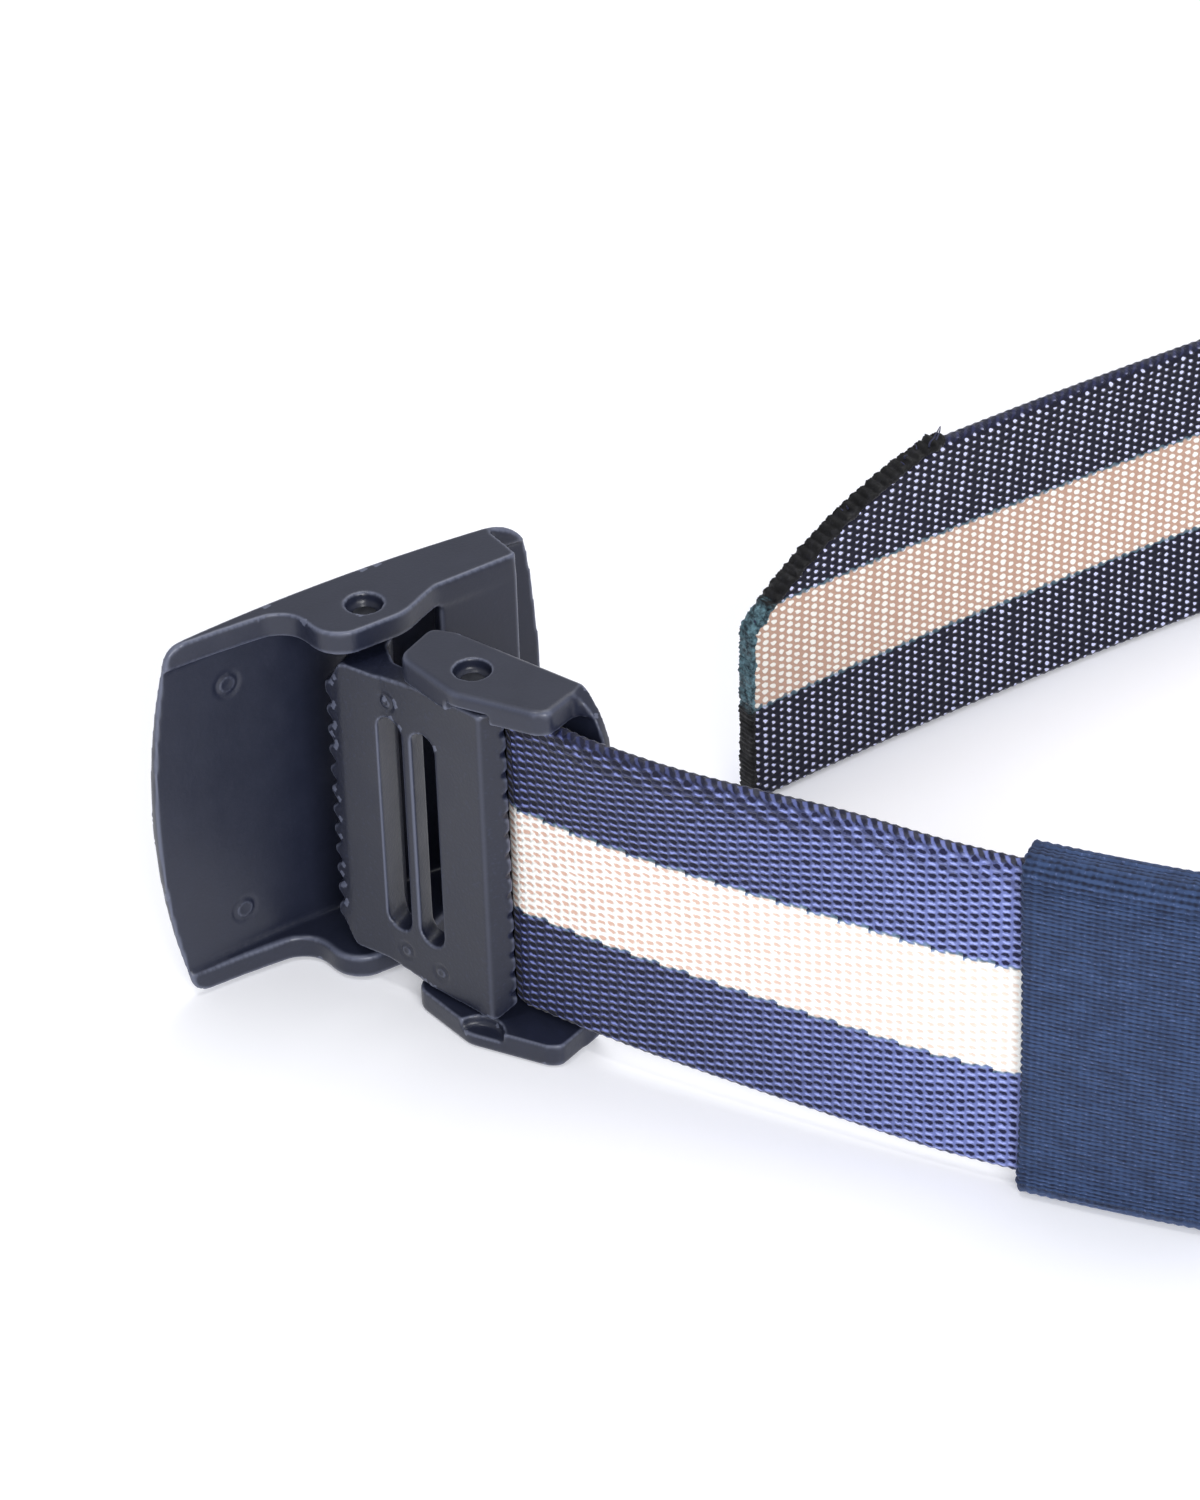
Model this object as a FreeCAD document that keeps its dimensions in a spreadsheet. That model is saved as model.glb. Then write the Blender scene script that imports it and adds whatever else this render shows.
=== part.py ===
"""Web waist belt with a hinged cam buckle, standing on its edge with the buckle open.

The belt is one long strip of striped webbing.  Its fixed end is clamped in the rear frame of a moulded
three-piece buckle: frame, cam lever and cover, joined by two upright hinge pins.  An elastic keeper rides
on the webbing beside the buckle, and the free end is cut on a slant.  Lengths are millimetres, +Z is up.
Plan positions are measured from the frame's hinge axis; the last step moves the whole belt so that the
origin lies at the middle of its footprint, on the surface that it stands on.
"""
import FreeCAD, Part
import math
import os

import Sketcher

Vector = FreeCAD.Vector
UP = Vector(0, 0, 1)

DIMENSIONS = [
    # webbing
    ("webbing_width", 38.0, "width of the webbing, which stands upright"),
    ("webbing_thickness", 2.0, "thickness of the webbing"),
    ("clamp_lift", 3.1, "height of the webbing's lower edge inside the frame"),
    ("keeper_lift", 1.6, "height of the webbing's lower edge inside the keeper"),
    ("tip_square_height", 22.7, "height of the square part of the free end"),
    ("tip_slant_length", 24.4, "length of the slanted cut along the webbing"),
    # rear frame
    ("frame_height", 44.2, "height of the rear frame over both arms"),
    ("arm_thickness", 2.8, "thickness of each frame arm"),
    ("back_plate_thickness", 1.3, "thickness of the plate behind the webbing"),
    ("plate_inset", 0.5, "how far that plate stops short of the arms' outer faces"),
    ("frame_heading", -27.0, "direction in which the webbing leaves the frame, degrees"),
    # hinges
    ("pin_radius", 1.3, "radius of both hinge pins"),
    ("hinge_clearance", 0.05, "radial running clearance of the pins"),
    ("recess_radius", 1.9, "radius of the counterbore over each pin end"),
    ("recess_depth", 1.3, "depth of the counterbore over each pin end"),
    ("hinge_span", 17.1, "distance between the two hinge axes"),
    ("hinge_angle", 157.0, "direction from frame axis to cover axis, from the frame, degrees"),
    # cam lever
    ("lever_gap", 0.3, "clearance between the lever and each frame arm"),
    ("lever_head_height", 35.6, "height of the lever's head, between the cover's ears"),
    ("cover_tooth_pitch", 2.5, "pitch of the teeth that grip the free end"),
    ("cover_tooth_count", 11, "notches between the teeth that grip the free end"),
    ("clamp_tooth_pitch", 2.5, "pitch of the teeth that clamp the fixed end"),
    ("clamp_tooth_count", 14, "notches between the teeth that clamp the fixed end"),
    ("cover_tooth_depth", 1.2, "depth of the teeth that grip the free end"),
    ("clamp_tooth_depth", 0.6, "depth of the teeth that clamp the fixed end"),
    ("slot_width", 3.1, "width of the slots through the lever"),
    ("slot_height", 26.4, "height of the slots through the lever"),
    # cover
    ("cover_height", 43.6, "height of the cover over both side walls"),
    ("cover_length", 43.4, "length of the cover's face at its corners"),
    ("cover_wall_length", 38.6, "length of the cover's side walls"),
    ("cover_left_bulge", 2.2, "how far the cover's left end bows out"),
    ("cover_right_bulge", 1.0, "how far the cover's right end bows out"),
    ("cover_left_corner", 2.4, "rounding of the cover's left corners"),
    ("cover_right_corner", 5.0, "rounding of the cover's right corners"),
    ("cover_skin", 1.6, "thickness of the cover's face at its middle"),
    ("cover_wall", 2.8, "thickness of the cover's side walls"),
    ("rim_rounding", 0.5, "rounding of the domed face's rim"),
    ("cover_angle", 32.5, "direction of the cover in plan, degrees"),
    ("cover_radius", 178.0, "radius of the domed face"),
    ("cover_inner_radius", 190.0, "radius of the face's inner side, along the cover"),
    # keeper
    ("keeper_width", 20.0, "width of the keeper along the webbing"),
    ("keeper_clearance", 0.3, "gap between the keeper and the webbing"),
    ("elastic_thickness", 1.25, "thickness of the keeper's elastic"),
    ("keeper_arc_radius", 230.0, "radius of the webbing where the keeper rides"),
    ("keeper_arc_angle", 15.0, "turn of that stretch of webbing, degrees"),
    ("keeper_station", 6.45, "turn from that stretch's start to the keeper's middle, degrees"),
]

doc = FreeCAD.newDocument("waist_belt")
sheet = doc.addObject("Spreadsheet::Sheet", "Dimensions")
for row, (alias, value, note) in enumerate(DIMENSIONS, start=1):
    sheet.set(f"A{row}", note)
    sheet.set(f"B{row}", str(value))
    sheet.setAlias(f"B{row}", alias)
doc.recompute()


def dim(alias):
    """The value that the sheet holds for one driving dimension."""
    return float(getattr(sheet, alias))


def bind(feature, expressions):
    """Tie properties of a feature to the sheet; a name in the expressions is a sheet alias."""
    for prop, expression in expressions.items():
        feature.setExpression(prop, expression)


def ref(alias):
    return f"Dimensions.{alias}"


def heading(angle):
    """Unit vector in plan, the angle in degrees from +X."""
    return Vector(math.cos(math.radians(angle)), math.sin(math.radians(angle)), 0)


# ---------------------------------------------------------------- outlines

def corner_arc(before, corner, after, radius):
    """Start, middle and end of the arc that rounds one corner of an outline."""
    to_before = (before - corner).normalize()
    to_after = (after - corner).normalize()
    half = to_before.getAngle(to_after) / 2
    reach = radius / math.tan(half)
    inward = (to_before + to_after).normalize()
    middle = corner + inward * (radius / math.sin(half) - radius)
    return corner + to_before * reach, middle, corner + to_after * reach


def rounded_outline(corners):
    """Closed outline of lines and arcs from (x, y) or (x, y, rounding radius) corners."""
    points = [Vector(c[0], c[1], 0) for c in corners]
    radii = [c[2] if len(c) > 2 else 0 for c in corners]
    count = len(points)
    ends = []
    for index, (point, radius) in enumerate(zip(points, radii)):
        if radius:
            ends.append(corner_arc(points[index - 1], point, points[(index + 1) % count], radius))
        else:
            ends.append((point, None, point))
    geometry = []
    for index, (start, middle, end) in enumerate(ends):
        if middle is not None:
            geometry.append(Part.Arc(start, middle, end))
        following = ends[(index + 1) % count][0]
        if end.distanceToPoint(following) > 1e-6:
            geometry.append(Part.LineSegment(end, following))
    return geometry


def face_of(geometry):
    return Part.Face(Part.Wire(Part.__sortEdges__([piece.toShape() for piece in geometry])))


# ---------------------------------------------------------------- PartDesign helpers

def origin_plane(body, role):
    return next(item for item in body.Origin.OriginFeatures if item.Role == role)


def new_body(label):
    body = doc.addObject("PartDesign::Body", label)
    body.Label = label
    return body


def new_sketch(body, name, plane, geometry, offset=None):
    """Sketch on one of the body's own origin planes; offset is a sheet expression along its normal."""
    sketch = body.newObject("Sketcher::SketchObject", name)
    sketch.AttachmentSupport = [(origin_plane(body, plane), "")]
    sketch.MapMode = "FlatFace"
    if offset:
        sketch.setExpression("AttachmentOffset.Base.z", offset)
    if geometry:
        sketch.addGeometry(geometry, False)
    return sketch


def add_circle(sketch, x, y, radius_expression):
    """Circle at a fixed place whose radius follows the sheet."""
    index = sketch.addGeometry(Part.Circle(Vector(x, y, 0), UP, 1.0), False)
    sketch.addConstraint(Sketcher.Constraint("Radius", index, 1.0))
    sketch.setExpression(f"Constraints[{sketch.ConstraintCount - 1}]", radius_expression)
    return index


def pad(body, name, sketch, length):
    feature = body.newObject("PartDesign::Pad", name)
    feature.Profile = sketch
    feature.setExpression("Length", length)
    sketch.Visibility = False
    return feature


def pocket(body, name, sketch, length=None, reversed_side=False, midplane=False):
    """Pocket of a stated length, or through everything both ways when length is left out."""
    feature = body.newObject("PartDesign::Pocket", name)
    feature.Profile = sketch
    feature.Reversed = reversed_side
    feature.Midplane = midplane
    if length is None:
        feature.Type = "ThroughAll"
        feature.Midplane = True
    else:
        feature.setExpression("Length", length)
    return feature


def fillet(body, name, radius, chosen):
    """Round the edges of the body's last feature that the test picks."""
    doc.recompute()
    base = body.Tip
    names = [f"Edge{i}" for i, edge in enumerate(base.Shape.Edges, start=1) if chosen(edge)]
    feature = body.newObject("PartDesign::Fillet", name)
    feature.Base = (base, names)
    feature.Radius = radius
    return feature


# ---------------------------------------------------------------- shared plan geometry

FRAME_TURN = FreeCAD.Rotation(UP, dim("frame_heading"))
COVER_AXIS_LOCAL = heading(dim("hinge_angle")) * dim("hinge_span")
COVER_AXIS = FRAME_TURN.multVec(COVER_AXIS_LOCAL)
FRAME_PLACE = FreeCAD.Placement(Vector(0, 0, 0), FRAME_TURN)

# The webbing's back plate slopes across the frame, so that the lever wedges the webbing against it.
PLATE_SLOPE = -0.204
PLATE_START = -3.0
PLATE_END = 14.4
PLATE_INNER_AT_END = 0.444
ARM_END = 13.0
# Its exposed corners are rounded this far along the end and along the side.
CORNER_RISE = 9.0
CORNER_RUN = 3.4
# A length that reaches past every outline of the buckle.
BEYOND = 20.0


def plate_inner(x):
    """Inner face of the back plate, in the frame's plan."""
    return PLATE_INNER_AT_END + PLATE_SLOPE * (x - PLATE_END)


def plate_outer(x):
    return plate_inner(x) + dim("back_plate_thickness")


# ---------------------------------------------------------------- rear frame

def rear_frame():
    """Two arms joined by the plate behind the webbing; the arms hold the frame hinge pin."""
    body = new_body("rear_frame")
    height = dim("frame_height")
    arm = [
        (-7.4, 5.2, 1.2),
        (-4.5, plate_outer(-4.5), 1.5),
        (ARM_END, plate_outer(ARM_END), 0.4),
        (ARM_END, plate_inner(ARM_END), 0.2),
        (11.2, 0.3, 1.0),
        (10.4, -3.9, 1.2),
        (9.0, -4.5, 1.2),
        (0.0, -4.6, 3.0),
        (-8.0, -0.8, 2.0),
    ]
    pad(body, "ArmBlock", new_sketch(body, "ArmOutline", "XY_Plane", rounded_outline(arm)),
        ref("frame_height"))
    doc.recompute()

    def outer_rim(edge):
        box = edge.BoundBox
        return box.ZLength < 0.01 and (box.ZMin < 0.01 or box.ZMax > height - 0.01)

    fillet(body, "OuterRounding", 0.55, outer_rim)
    throat = [
        (-BEYOND, -BEYOND),
        (BEYOND, -BEYOND),
        (BEYOND, plate_inner(BEYOND)),
        (PLATE_START, plate_inner(PLATE_START)),
        (PLATE_START, BEYOND),
        (-BEYOND, BEYOND),
    ]
    pocket(body, "Throat",
           new_sketch(body, "ThroatOutline", "XY_Plane", rounded_outline(throat), ref("arm_thickness")),
           f"{ref('frame_height')} - 2 * {ref('arm_thickness')}", reversed_side=True)
    tail_start = ARM_END - 3
    tail = [
        (tail_start, plate_inner(tail_start)),
        (PLATE_END, plate_inner(PLATE_END), 0.2),
        (PLATE_END, plate_outer(PLATE_END), 0.4),
        (tail_start, plate_outer(tail_start)),
    ]
    pad(body, "PlateTail",
        new_sketch(body, "PlateTailOutline", "XY_Plane", rounded_outline(tail), ref("plate_inset")),
        f"{ref('frame_height')} - 2 * {ref('plate_inset')}")

    bore_sketch = new_sketch(body, "HingeBoreCircle", "XY_Plane", [])
    add_circle(bore_sketch, 0, 0, f"{ref('pin_radius')} + {ref('hinge_clearance')}")
    pocket(body, "HingeBore", bore_sketch)
    for name, offset, flip in (
        ("LowerRecess", ref("recess_depth"), False),
        ("UpperRecess", f"{ref('frame_height')} - {ref('recess_depth')}", True),
    ):
        recess = new_sketch(body, name + "Circle", "XY_Plane", [], offset)
        add_circle(recess, 0, 0, ref("recess_radius"))
        pocket(body, name, recess, ref("recess_depth"), reversed_side=flip)
    # A shallow scoop in each arm's inner side clears the heel of the lever as it turns.
    upper_offset = f"{ref('frame_height')} - {ref('arm_thickness')}"
    for name, offset, flip in (
        ("LowerHeelScoop", ref("arm_thickness"), False),
        ("UpperHeelScoop", upper_offset, True),
    ):
        scoop = new_sketch(body, name + "Circle", "XY_Plane", [], offset)
        add_circle(scoop, 1.4, -5.2, "2.7 mm")
        pocket(body, name, scoop, "1.1 mm", reversed_side=flip)

    # The plate's exposed end has long rounded corners, seen from behind.
    for name, level, inward in (("LowerPlateCorner", 0.0, 1), ("UpperPlateCorner", height, -1)):
        beyond = Vector(PLATE_END + 1, level - inward, 0)
        side = Vector(PLATE_END + 1, level + inward * CORNER_RISE, 0)
        end = Vector(PLATE_END, level + inward * CORNER_RISE, 0)
        shoulder = Vector(PLATE_END - 0.9, level + inward * 3.6, 0)
        top = Vector(PLATE_END - CORNER_RUN, level, 0)
        above = Vector(PLATE_END - CORNER_RUN, level - inward, 0)
        cut = [
            Part.LineSegment(beyond, side),
            Part.LineSegment(side, end),
            Part.Arc(end, shoulder, top),
            Part.LineSegment(top, above),
            Part.LineSegment(above, beyond),
        ]
        pocket(body, name, new_sketch(body, name + "Outline", "XZ_Plane", cut))
    doc.recompute()
    body.Placement = FRAME_PLACE
    return body


# ---------------------------------------------------------------- cam lever

LEVER_PROFILE_FRONT = [
    (-18.2, 1.75, 0.25),
    (-16.2, 1.15, 2.0),
    (-11.0, 0.35, 4.0),
    (2.1, -3.3, 0.5),
    (4.15, -1.3, 0.2),
]


def cam_lever():
    """Plate with a toothed head on the cover's hinge and a toothed bar on the frame's hinge."""
    body = new_body("cam_lever")
    ax, ay = COVER_AXIS_LOCAL.x, COVER_AXIS_LOCAL.y
    bar_radius = 2.4
    boss_radius = 2.65
    profile = LEVER_PROFILE_FRONT + [
        (2.5, 0.6, 0.4),
        (1.6, bar_radius, 1.0),
        (-1.8, bar_radius, 1.2),
        (-4.4, 1.3, 1.5),
        (-10.6, 3.2, 2.0),
        (ax + boss_radius, ay - 0.6, 1.2),
        (ax + boss_radius, ay + boss_radius, boss_radius - 0.05),
        (ax - boss_radius, ay + boss_radius, boss_radius - 0.05),
    ]
    lift = f"{ref('arm_thickness')} + {ref('lever_gap')}"
    height = f"{ref('frame_height')} - 2 * ({lift})"
    pad(body, "LeverBlock",
        new_sketch(body, "LeverProfile", "XY_Plane", rounded_outline(profile), lift), height)
    middle = dim("frame_height") / 2
    full = dim("frame_height") / 2 - dim("arm_thickness") - dim("lever_gap")
    head = dim("lever_head_height") / 2

    # Front outline: full height at the bar, lower at the head, with bevelled head corners.
    front = [
        (6.0, middle + full + 1),
        (2.0, middle + full + 1),
        (2.0, middle + full),
        (-6.0, middle + head + 1.0, 2.0),
        (-12.0, middle + head, 1.0),
        (-16.0, middle + head, 0.8),
        (-17.6, middle + head - 2.9, 0.8),
        (-18.6, middle + head - 3.4),
        (-18.6, middle - head + 3.4),
        (-17.6, middle - head + 2.9, 0.8),
        (-16.0, middle - head, 0.8),
        (-12.0, middle - head, 1.0),
        (-6.0, middle - head - 1.0, 2.0),
        (2.6, middle - full),
        (4.9, middle - full + 2.3),
        (6.0, middle - full + 2.3),
    ]
    around = rounded_outline([(-22, -2), (-22, 48), (8, 48), (8, -2)])
    pocket(body, "HeadOutline",
           new_sketch(body, "FrontOutline", "XZ_Plane", rounded_outline(front) + around))

    for name, x in (("OuterSlot", -10.0), ("InnerSlot", -5.6)):
        half_width = dim("slot_width") / 2
        half_height = dim("slot_height") / 2
        slot = rounded_outline([
            (x - half_width, middle - half_height, half_width - 0.05),
            (x + half_width, middle - half_height, half_width - 0.05),
            (x + half_width, middle + half_height, half_width - 0.05),
            (x - half_width, middle + half_height, half_width - 0.05),
        ])
        pocket(body, name, new_sketch(body, name + "Outline", "XZ_Plane", slot))

    bores = new_sketch(body, "PinBoreCircles", "XY_Plane", [])
    add_circle(bores, 0, 0, ref("pin_radius"))
    add_circle(bores, ax, ay, ref("pin_radius"))
    pocket(body, "PinBores", bores)

    tooth_rows = (
        ("GripNotch", -18.4, 1, dim("cover_tooth_pitch"), "cover_tooth", 4.2),
        ("ClampNotch", 4.1, -1, dim("clamp_tooth_pitch"), "clamp_tooth", 3.0),
    )
    for name, tip_x, into, pitch, alias, reach in tooth_rows:
        count = int(dim(alias + "_count"))
        depth = dim(alias + "_depth")
        half_mouth = min(pitch / 2, depth * 1.05)
        first = middle - pitch * (count - 1) / 2
        outside = tip_x - into * 0.4
        notch = rounded_outline([
            (outside, first - half_mouth - 0.4),
            (tip_x + into * depth, first, 0.3),
            (outside, first + half_mouth + 0.4),
        ])
        sketch = new_sketch(body, name + "Outline", "XZ_Plane", notch)
        cut = pocket(body, name, sketch, f"{2 * reach} mm", midplane=True)
        row = body.newObject("PartDesign::LinearPattern", name + "Row")
        row.Originals = [cut]
        row.Direction = (sketch, ["V_Axis"])
        bind(row, {
            "Length": f"{ref(alias + '_pitch')} * ({ref(alias + '_count')} - 1)",
            "Occurrences": ref(alias + "_count"),
        })
        body.Tip = row
        doc.recompute()
    body.Placement = FRAME_PLACE
    return body


# ---------------------------------------------------------------- buckle cover

def buckle_cover():
    """Curved face plate with side walls, ears for its hinge pin and a cross bar that closes a tunnel."""
    # Plan axes: x along the cover, y outward through its face; the hinge axis is the origin.
    left = -21.0
    face = 7.4
    middle = dim("frame_height") / 2
    length = dim("cover_length")
    wall_end = left + dim("cover_wall_length")
    centre_x = left + 19.5

    dome = doc.addObject("Part::Sphere", "OuterFaceDome")
    dome.setExpression("Radius", ref("cover_radius"))
    dome.Placement.Base = Vector(centre_x, face - dim("cover_radius"), middle)
    inner = doc.addObject("Part::Cylinder", "InnerFaceCurve")
    bind(inner, {"Radius": ref("cover_inner_radius"), "Height": ref("frame_height")})
    inner.Placement.Base = Vector(centre_x, face - dim("cover_skin") - dim("cover_inner_radius"), 0)

    half = dim("cover_height") / 2
    left_corner, right_corner = dim("cover_left_corner"), dim("cover_right_corner")
    low, high = middle - half, middle + half
    right = left + length

    def bowed_end(x, bow, start, end):
        return Part.Arc(Vector(x, start, 0), Vector(x + bow, middle, 0), Vector(x, end, 0))

    def quarter(centre_at_x, centre_z, radius, start_angle):
        points = []
        for angle in (start_angle, start_angle + 45, start_angle + 90):
            points.append(Vector(centre_at_x, centre_z, 0) + heading(angle) * radius)
        return Part.Arc(*points)

    elevation = [
        bowed_end(left, -dim("cover_left_bulge"), high - left_corner, low + left_corner),
        quarter(left + left_corner, low + left_corner, left_corner, 180),
        Part.LineSegment(Vector(left + left_corner, low, 0), Vector(right - right_corner, low, 0)),
        quarter(right - right_corner, low + right_corner, right_corner, 270),
        bowed_end(right, dim("cover_right_bulge"), low + right_corner, high - right_corner),
        quarter(right - right_corner, high - right_corner, right_corner, 0),
        Part.LineSegment(Vector(right - right_corner, high, 0), Vector(left + left_corner, high, 0)),
        quarter(left + left_corner, high - left_corner, left_corner, 90),
    ]
    elevation_face = doc.addObject("Part::Feature", "CoverElevation")
    elevation_face.Shape = face_of(elevation)
    elevation_face.Placement = FreeCAD.Placement(Vector(0, 12, 0), FreeCAD.Rotation(Vector(1, 0, 0), 90))
    slab = doc.addObject("Part::Extrusion", "CoverSlab")
    slab.Base = elevation_face
    slab.DirMode = "Custom"
    slab.Dir = Vector(0, -1, 0)
    slab.LengthFwd = 30.0
    slab.Solid = True
    blank = doc.addObject("Part::MultiCommon", "CoverBlank")
    blank.Shapes = [slab, dome]

    # Everything on the body side of the walls' edge is open.
    wall_edge = [
        (left - 4, face - 3.0),
        (left + 6.0, face - 3.2, 4.0),
        (left + 14.2, face - 3.7, 3.4),
        (left + 14.6, face - 11.3, 3.6),
        (left + 23.5, face - 11.3, 5.0),
        (left + 28.5, face - 8.9, 4.0),
        (wall_end, face - 8.7, 0.5),
        (wall_end, face - 3.2, 0.6),
        (right + 6.0, face - 4.2),
        (right + 6.0, face - 30.0),
        (left - 4, face - 30.0),
    ]
    open_face = doc.addObject("Part::Feature", "OpenSideOutline")
    open_face.Shape = face_of(rounded_outline(wall_edge))
    open_side = doc.addObject("Part::Extrusion", "OpenSide")
    open_side.Base = open_face
    open_side.DirMode = "Custom"
    open_side.Dir = UP
    open_side.setExpression("LengthFwd", ref("frame_height"))
    open_side.Solid = True

    # Between the walls only the face's skin is left.
    between = doc.addObject("Part::Box", "BetweenWalls")
    bind(between, {
        "Length": f"{ref('cover_length')} + 20",
        "Width": "40",
        "Height": f"{ref('cover_height')} - 2 * {ref('cover_wall')}",
    })
    between.Placement.Base = Vector(left - 10, face - 40, low + dim("cover_wall"))
    hollow = doc.addObject("Part::MultiCommon", "CoverHollow")
    hollow.Shapes = [between, inner]

    openings = doc.addObject("Part::MultiFuse", "CoverOpenings")
    openings.Shapes = [open_side, hollow]
    shell = doc.addObject("Part::Cut", "CoverShell")
    shell.Base = blank
    shell.Tool = openings

    bar = doc.addObject("Part::Box", "CrossBar")
    bind(bar, {
        "Length": "9.4",
        "Width": "1.7",
        "Height": f"{ref('cover_height')} - 2 * {ref('cover_wall')} + 1",
    })
    bar.Placement.Base = Vector(wall_end - 9.4, face - 8.7, low + dim("cover_wall") - 0.5)
    joined = doc.addObject("Part::MultiFuse", "CoverWithBar")
    joined.Shapes = [shell, bar]

    bore = doc.addObject("Part::Cylinder", "CoverBore")
    bind(bore, {"Radius": f"{ref('pin_radius')} + {ref('hinge_clearance')}", "Height": ref("frame_height")})
    drills = [bore]
    for name, level in (("LowerEarRecess", low - 5 + dim("recess_depth")),
                        ("UpperEarRecess", high - dim("recess_depth"))):
        recess = doc.addObject("Part::Cylinder", name)
        bind(recess, {"Radius": ref("recess_radius"), "Height": "5"})
        recess.Placement.Base = Vector(0, 0, level)
        drills.append(recess)
    # Two round witness marks are left on the inner face.
    mark_x = left + 7.5
    mark_y = face - dim("cover_skin") - (mark_x - centre_x) ** 2 / (2 * dim("cover_inner_radius"))
    for name, offset in (("LowerMark", -14.2), ("UpperMark", 14.2)):
        mark = doc.addObject("Part::Torus", name)
        mark.Radius1 = 1.3
        mark.Radius2 = 0.14
        mark.Placement = FreeCAD.Placement(
            Vector(mark_x, mark_y, middle + offset), FreeCAD.Rotation(Vector(1, 0, 0), 90))
        drills.append(mark)
    drilling = doc.addObject("Part::MultiFuse", "CoverDrilling")
    drilling.Shapes = drills
    drilled = doc.addObject("Part::Cut", "CoverDrilled")
    drilled.Base = joined
    drilled.Tool = drilling
    doc.recompute()

    # A soft rounding runs round the rim of the domed face.
    domed = next(side for side in drilled.Shape.Faces if isinstance(side.Surface, Part.Sphere))
    rounded = doc.addObject("Part::Fillet", "CoverRounded")
    rounded.Base = drilled
    rounded.Edges = [
        (number, dim("rim_rounding"), dim("rim_rounding"))
        for number, edge in enumerate(drilled.Shape.Edges, start=1)
        if any(edge.isSame(other) for other in domed.Edges)
    ]
    doc.recompute()
    return rounded


# ---------------------------------------------------------------- hinge pins

def hinge_pin(label, height, foot):
    """Steel pin that ends level with the counterbores over both its ends."""
    pin = doc.addObject("Part::Cylinder", label)
    pin.Label = label
    bind(pin, {"Radius": ref("pin_radius"), "Height": height})
    pin.Placement.Base = foot
    return pin


# ---------------------------------------------------------------- webbing route

class Route:
    """Chain of straight runs and tangent arcs in plan."""

    def __init__(self, start, angle):
        self.point = start
        self.angle = angle
        self.pieces = []
        self.length = 0.0

    def straight(self, length):
        end = self.point + heading(self.angle) * length
        self.pieces.append(("line", self.point, end, self.angle))
        self.point = end
        self.length += length

    def turn(self, radius, angle):
        """Arc to the left by a positive angle; returns its centre."""
        side = 1 if angle > 0 else -1
        centre = self.point + heading(self.angle + 90 * side) * radius
        self.pieces.append(("arc", centre, radius, self.angle, angle))
        self.angle += angle
        self.point = centre - heading(self.angle + 90 * side) * radius
        self.length += radius * abs(math.radians(angle))
        return centre


def offset_edges(route, distance):
    """The route's edges moved to its left by the distance."""
    edges = []
    for piece in route.pieces:
        if piece[0] == "line":
            _, start, end, angle = piece
            shift = heading(angle + 90) * distance
            edges.append(Part.LineSegment(start + shift, end + shift).toShape())
        else:
            _, centre, radius, angle, sweep = piece
            side = 1 if sweep > 0 else -1
            reach = radius - side * distance
            points = [centre - heading(angle + sweep * part + 90 * side) * reach for part in (0, 0.5, 1)]
            edges.append(Part.Arc(*points).toShape())
    return edges


def ribbon_face(route, thickness, closing_start=None):
    """Plan of a strip that follows a route; closing_start replaces its first end with more points."""
    left = offset_edges(route, thickness / 2)
    right = offset_edges(route, -thickness / 2)
    start = [right[0].Vertexes[0].Point] + (closing_start or []) + [left[0].Vertexes[0].Point]
    caps = [Part.LineSegment(a, b).toShape() for a, b in zip(start, start[1:])]
    end_cap = Part.LineSegment(right[-1].Vertexes[-1].Point, left[-1].Vertexes[-1].Point).toShape()
    return Part.Face(Part.Wire(Part.__sortEdges__(left + right + caps + [end_cap])))


RUN_START = Vector(11.4, -6.4, 0)
RUN_HEADING = -34.0
RUN_BENDS = ((100.0, 4.5), (900.0, 1.5))
TIP_POINT = Vector(28.4, 37.8, 0)
TIP_HEADING = 36.2
TIP_BEND = (570.0, 6.2)


def webbing_routes():
    """Near run with the keeper's arc, then the waist loop that ends at the free tip."""
    near = Route(RUN_START, RUN_HEADING)
    for radius, angle in RUN_BENDS:
        near.turn(radius, angle)
    keeper_centre = near.turn(dim("keeper_arc_radius"), dim("keeper_arc_angle"))
    near.turn(520.0, 4.0)

    tip_run = Route(TIP_POINT, TIP_HEADING)
    tip_run.turn(TIP_BEND[0], -TIP_BEND[1])

    # Three arcs turn the loop; two straight runs of solved length bring their ends together.
    turns = ((240.0, 40.0), (140.0, None), (240.0, 40.0))
    whole_turn = (tip_run.angle + 180) - near.angle
    middle_turn = whole_turn - sum(angle for _, angle in turns if angle)
    probe = Route(Vector(0, 0, 0), near.angle)
    for radius, angle in turns:
        probe.turn(radius, angle or middle_turn)
    gap = tip_run.point - near.point - probe.point
    first, last = heading(near.angle), heading(tip_run.angle)
    across = first.x * last.y - first.y * last.x
    first_length = (gap.x * last.y - gap.y * last.x) / across
    last_length = (gap.x * first.y - gap.y * first.x) / across

    loop = Route(near.point, near.angle)
    loop.straight(first_length)
    for radius, angle in turns:
        loop.turn(radius, angle or middle_turn)
    loop.straight(last_length)
    loop.turn(*TIP_BEND)
    return near, loop, keeper_centre


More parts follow.
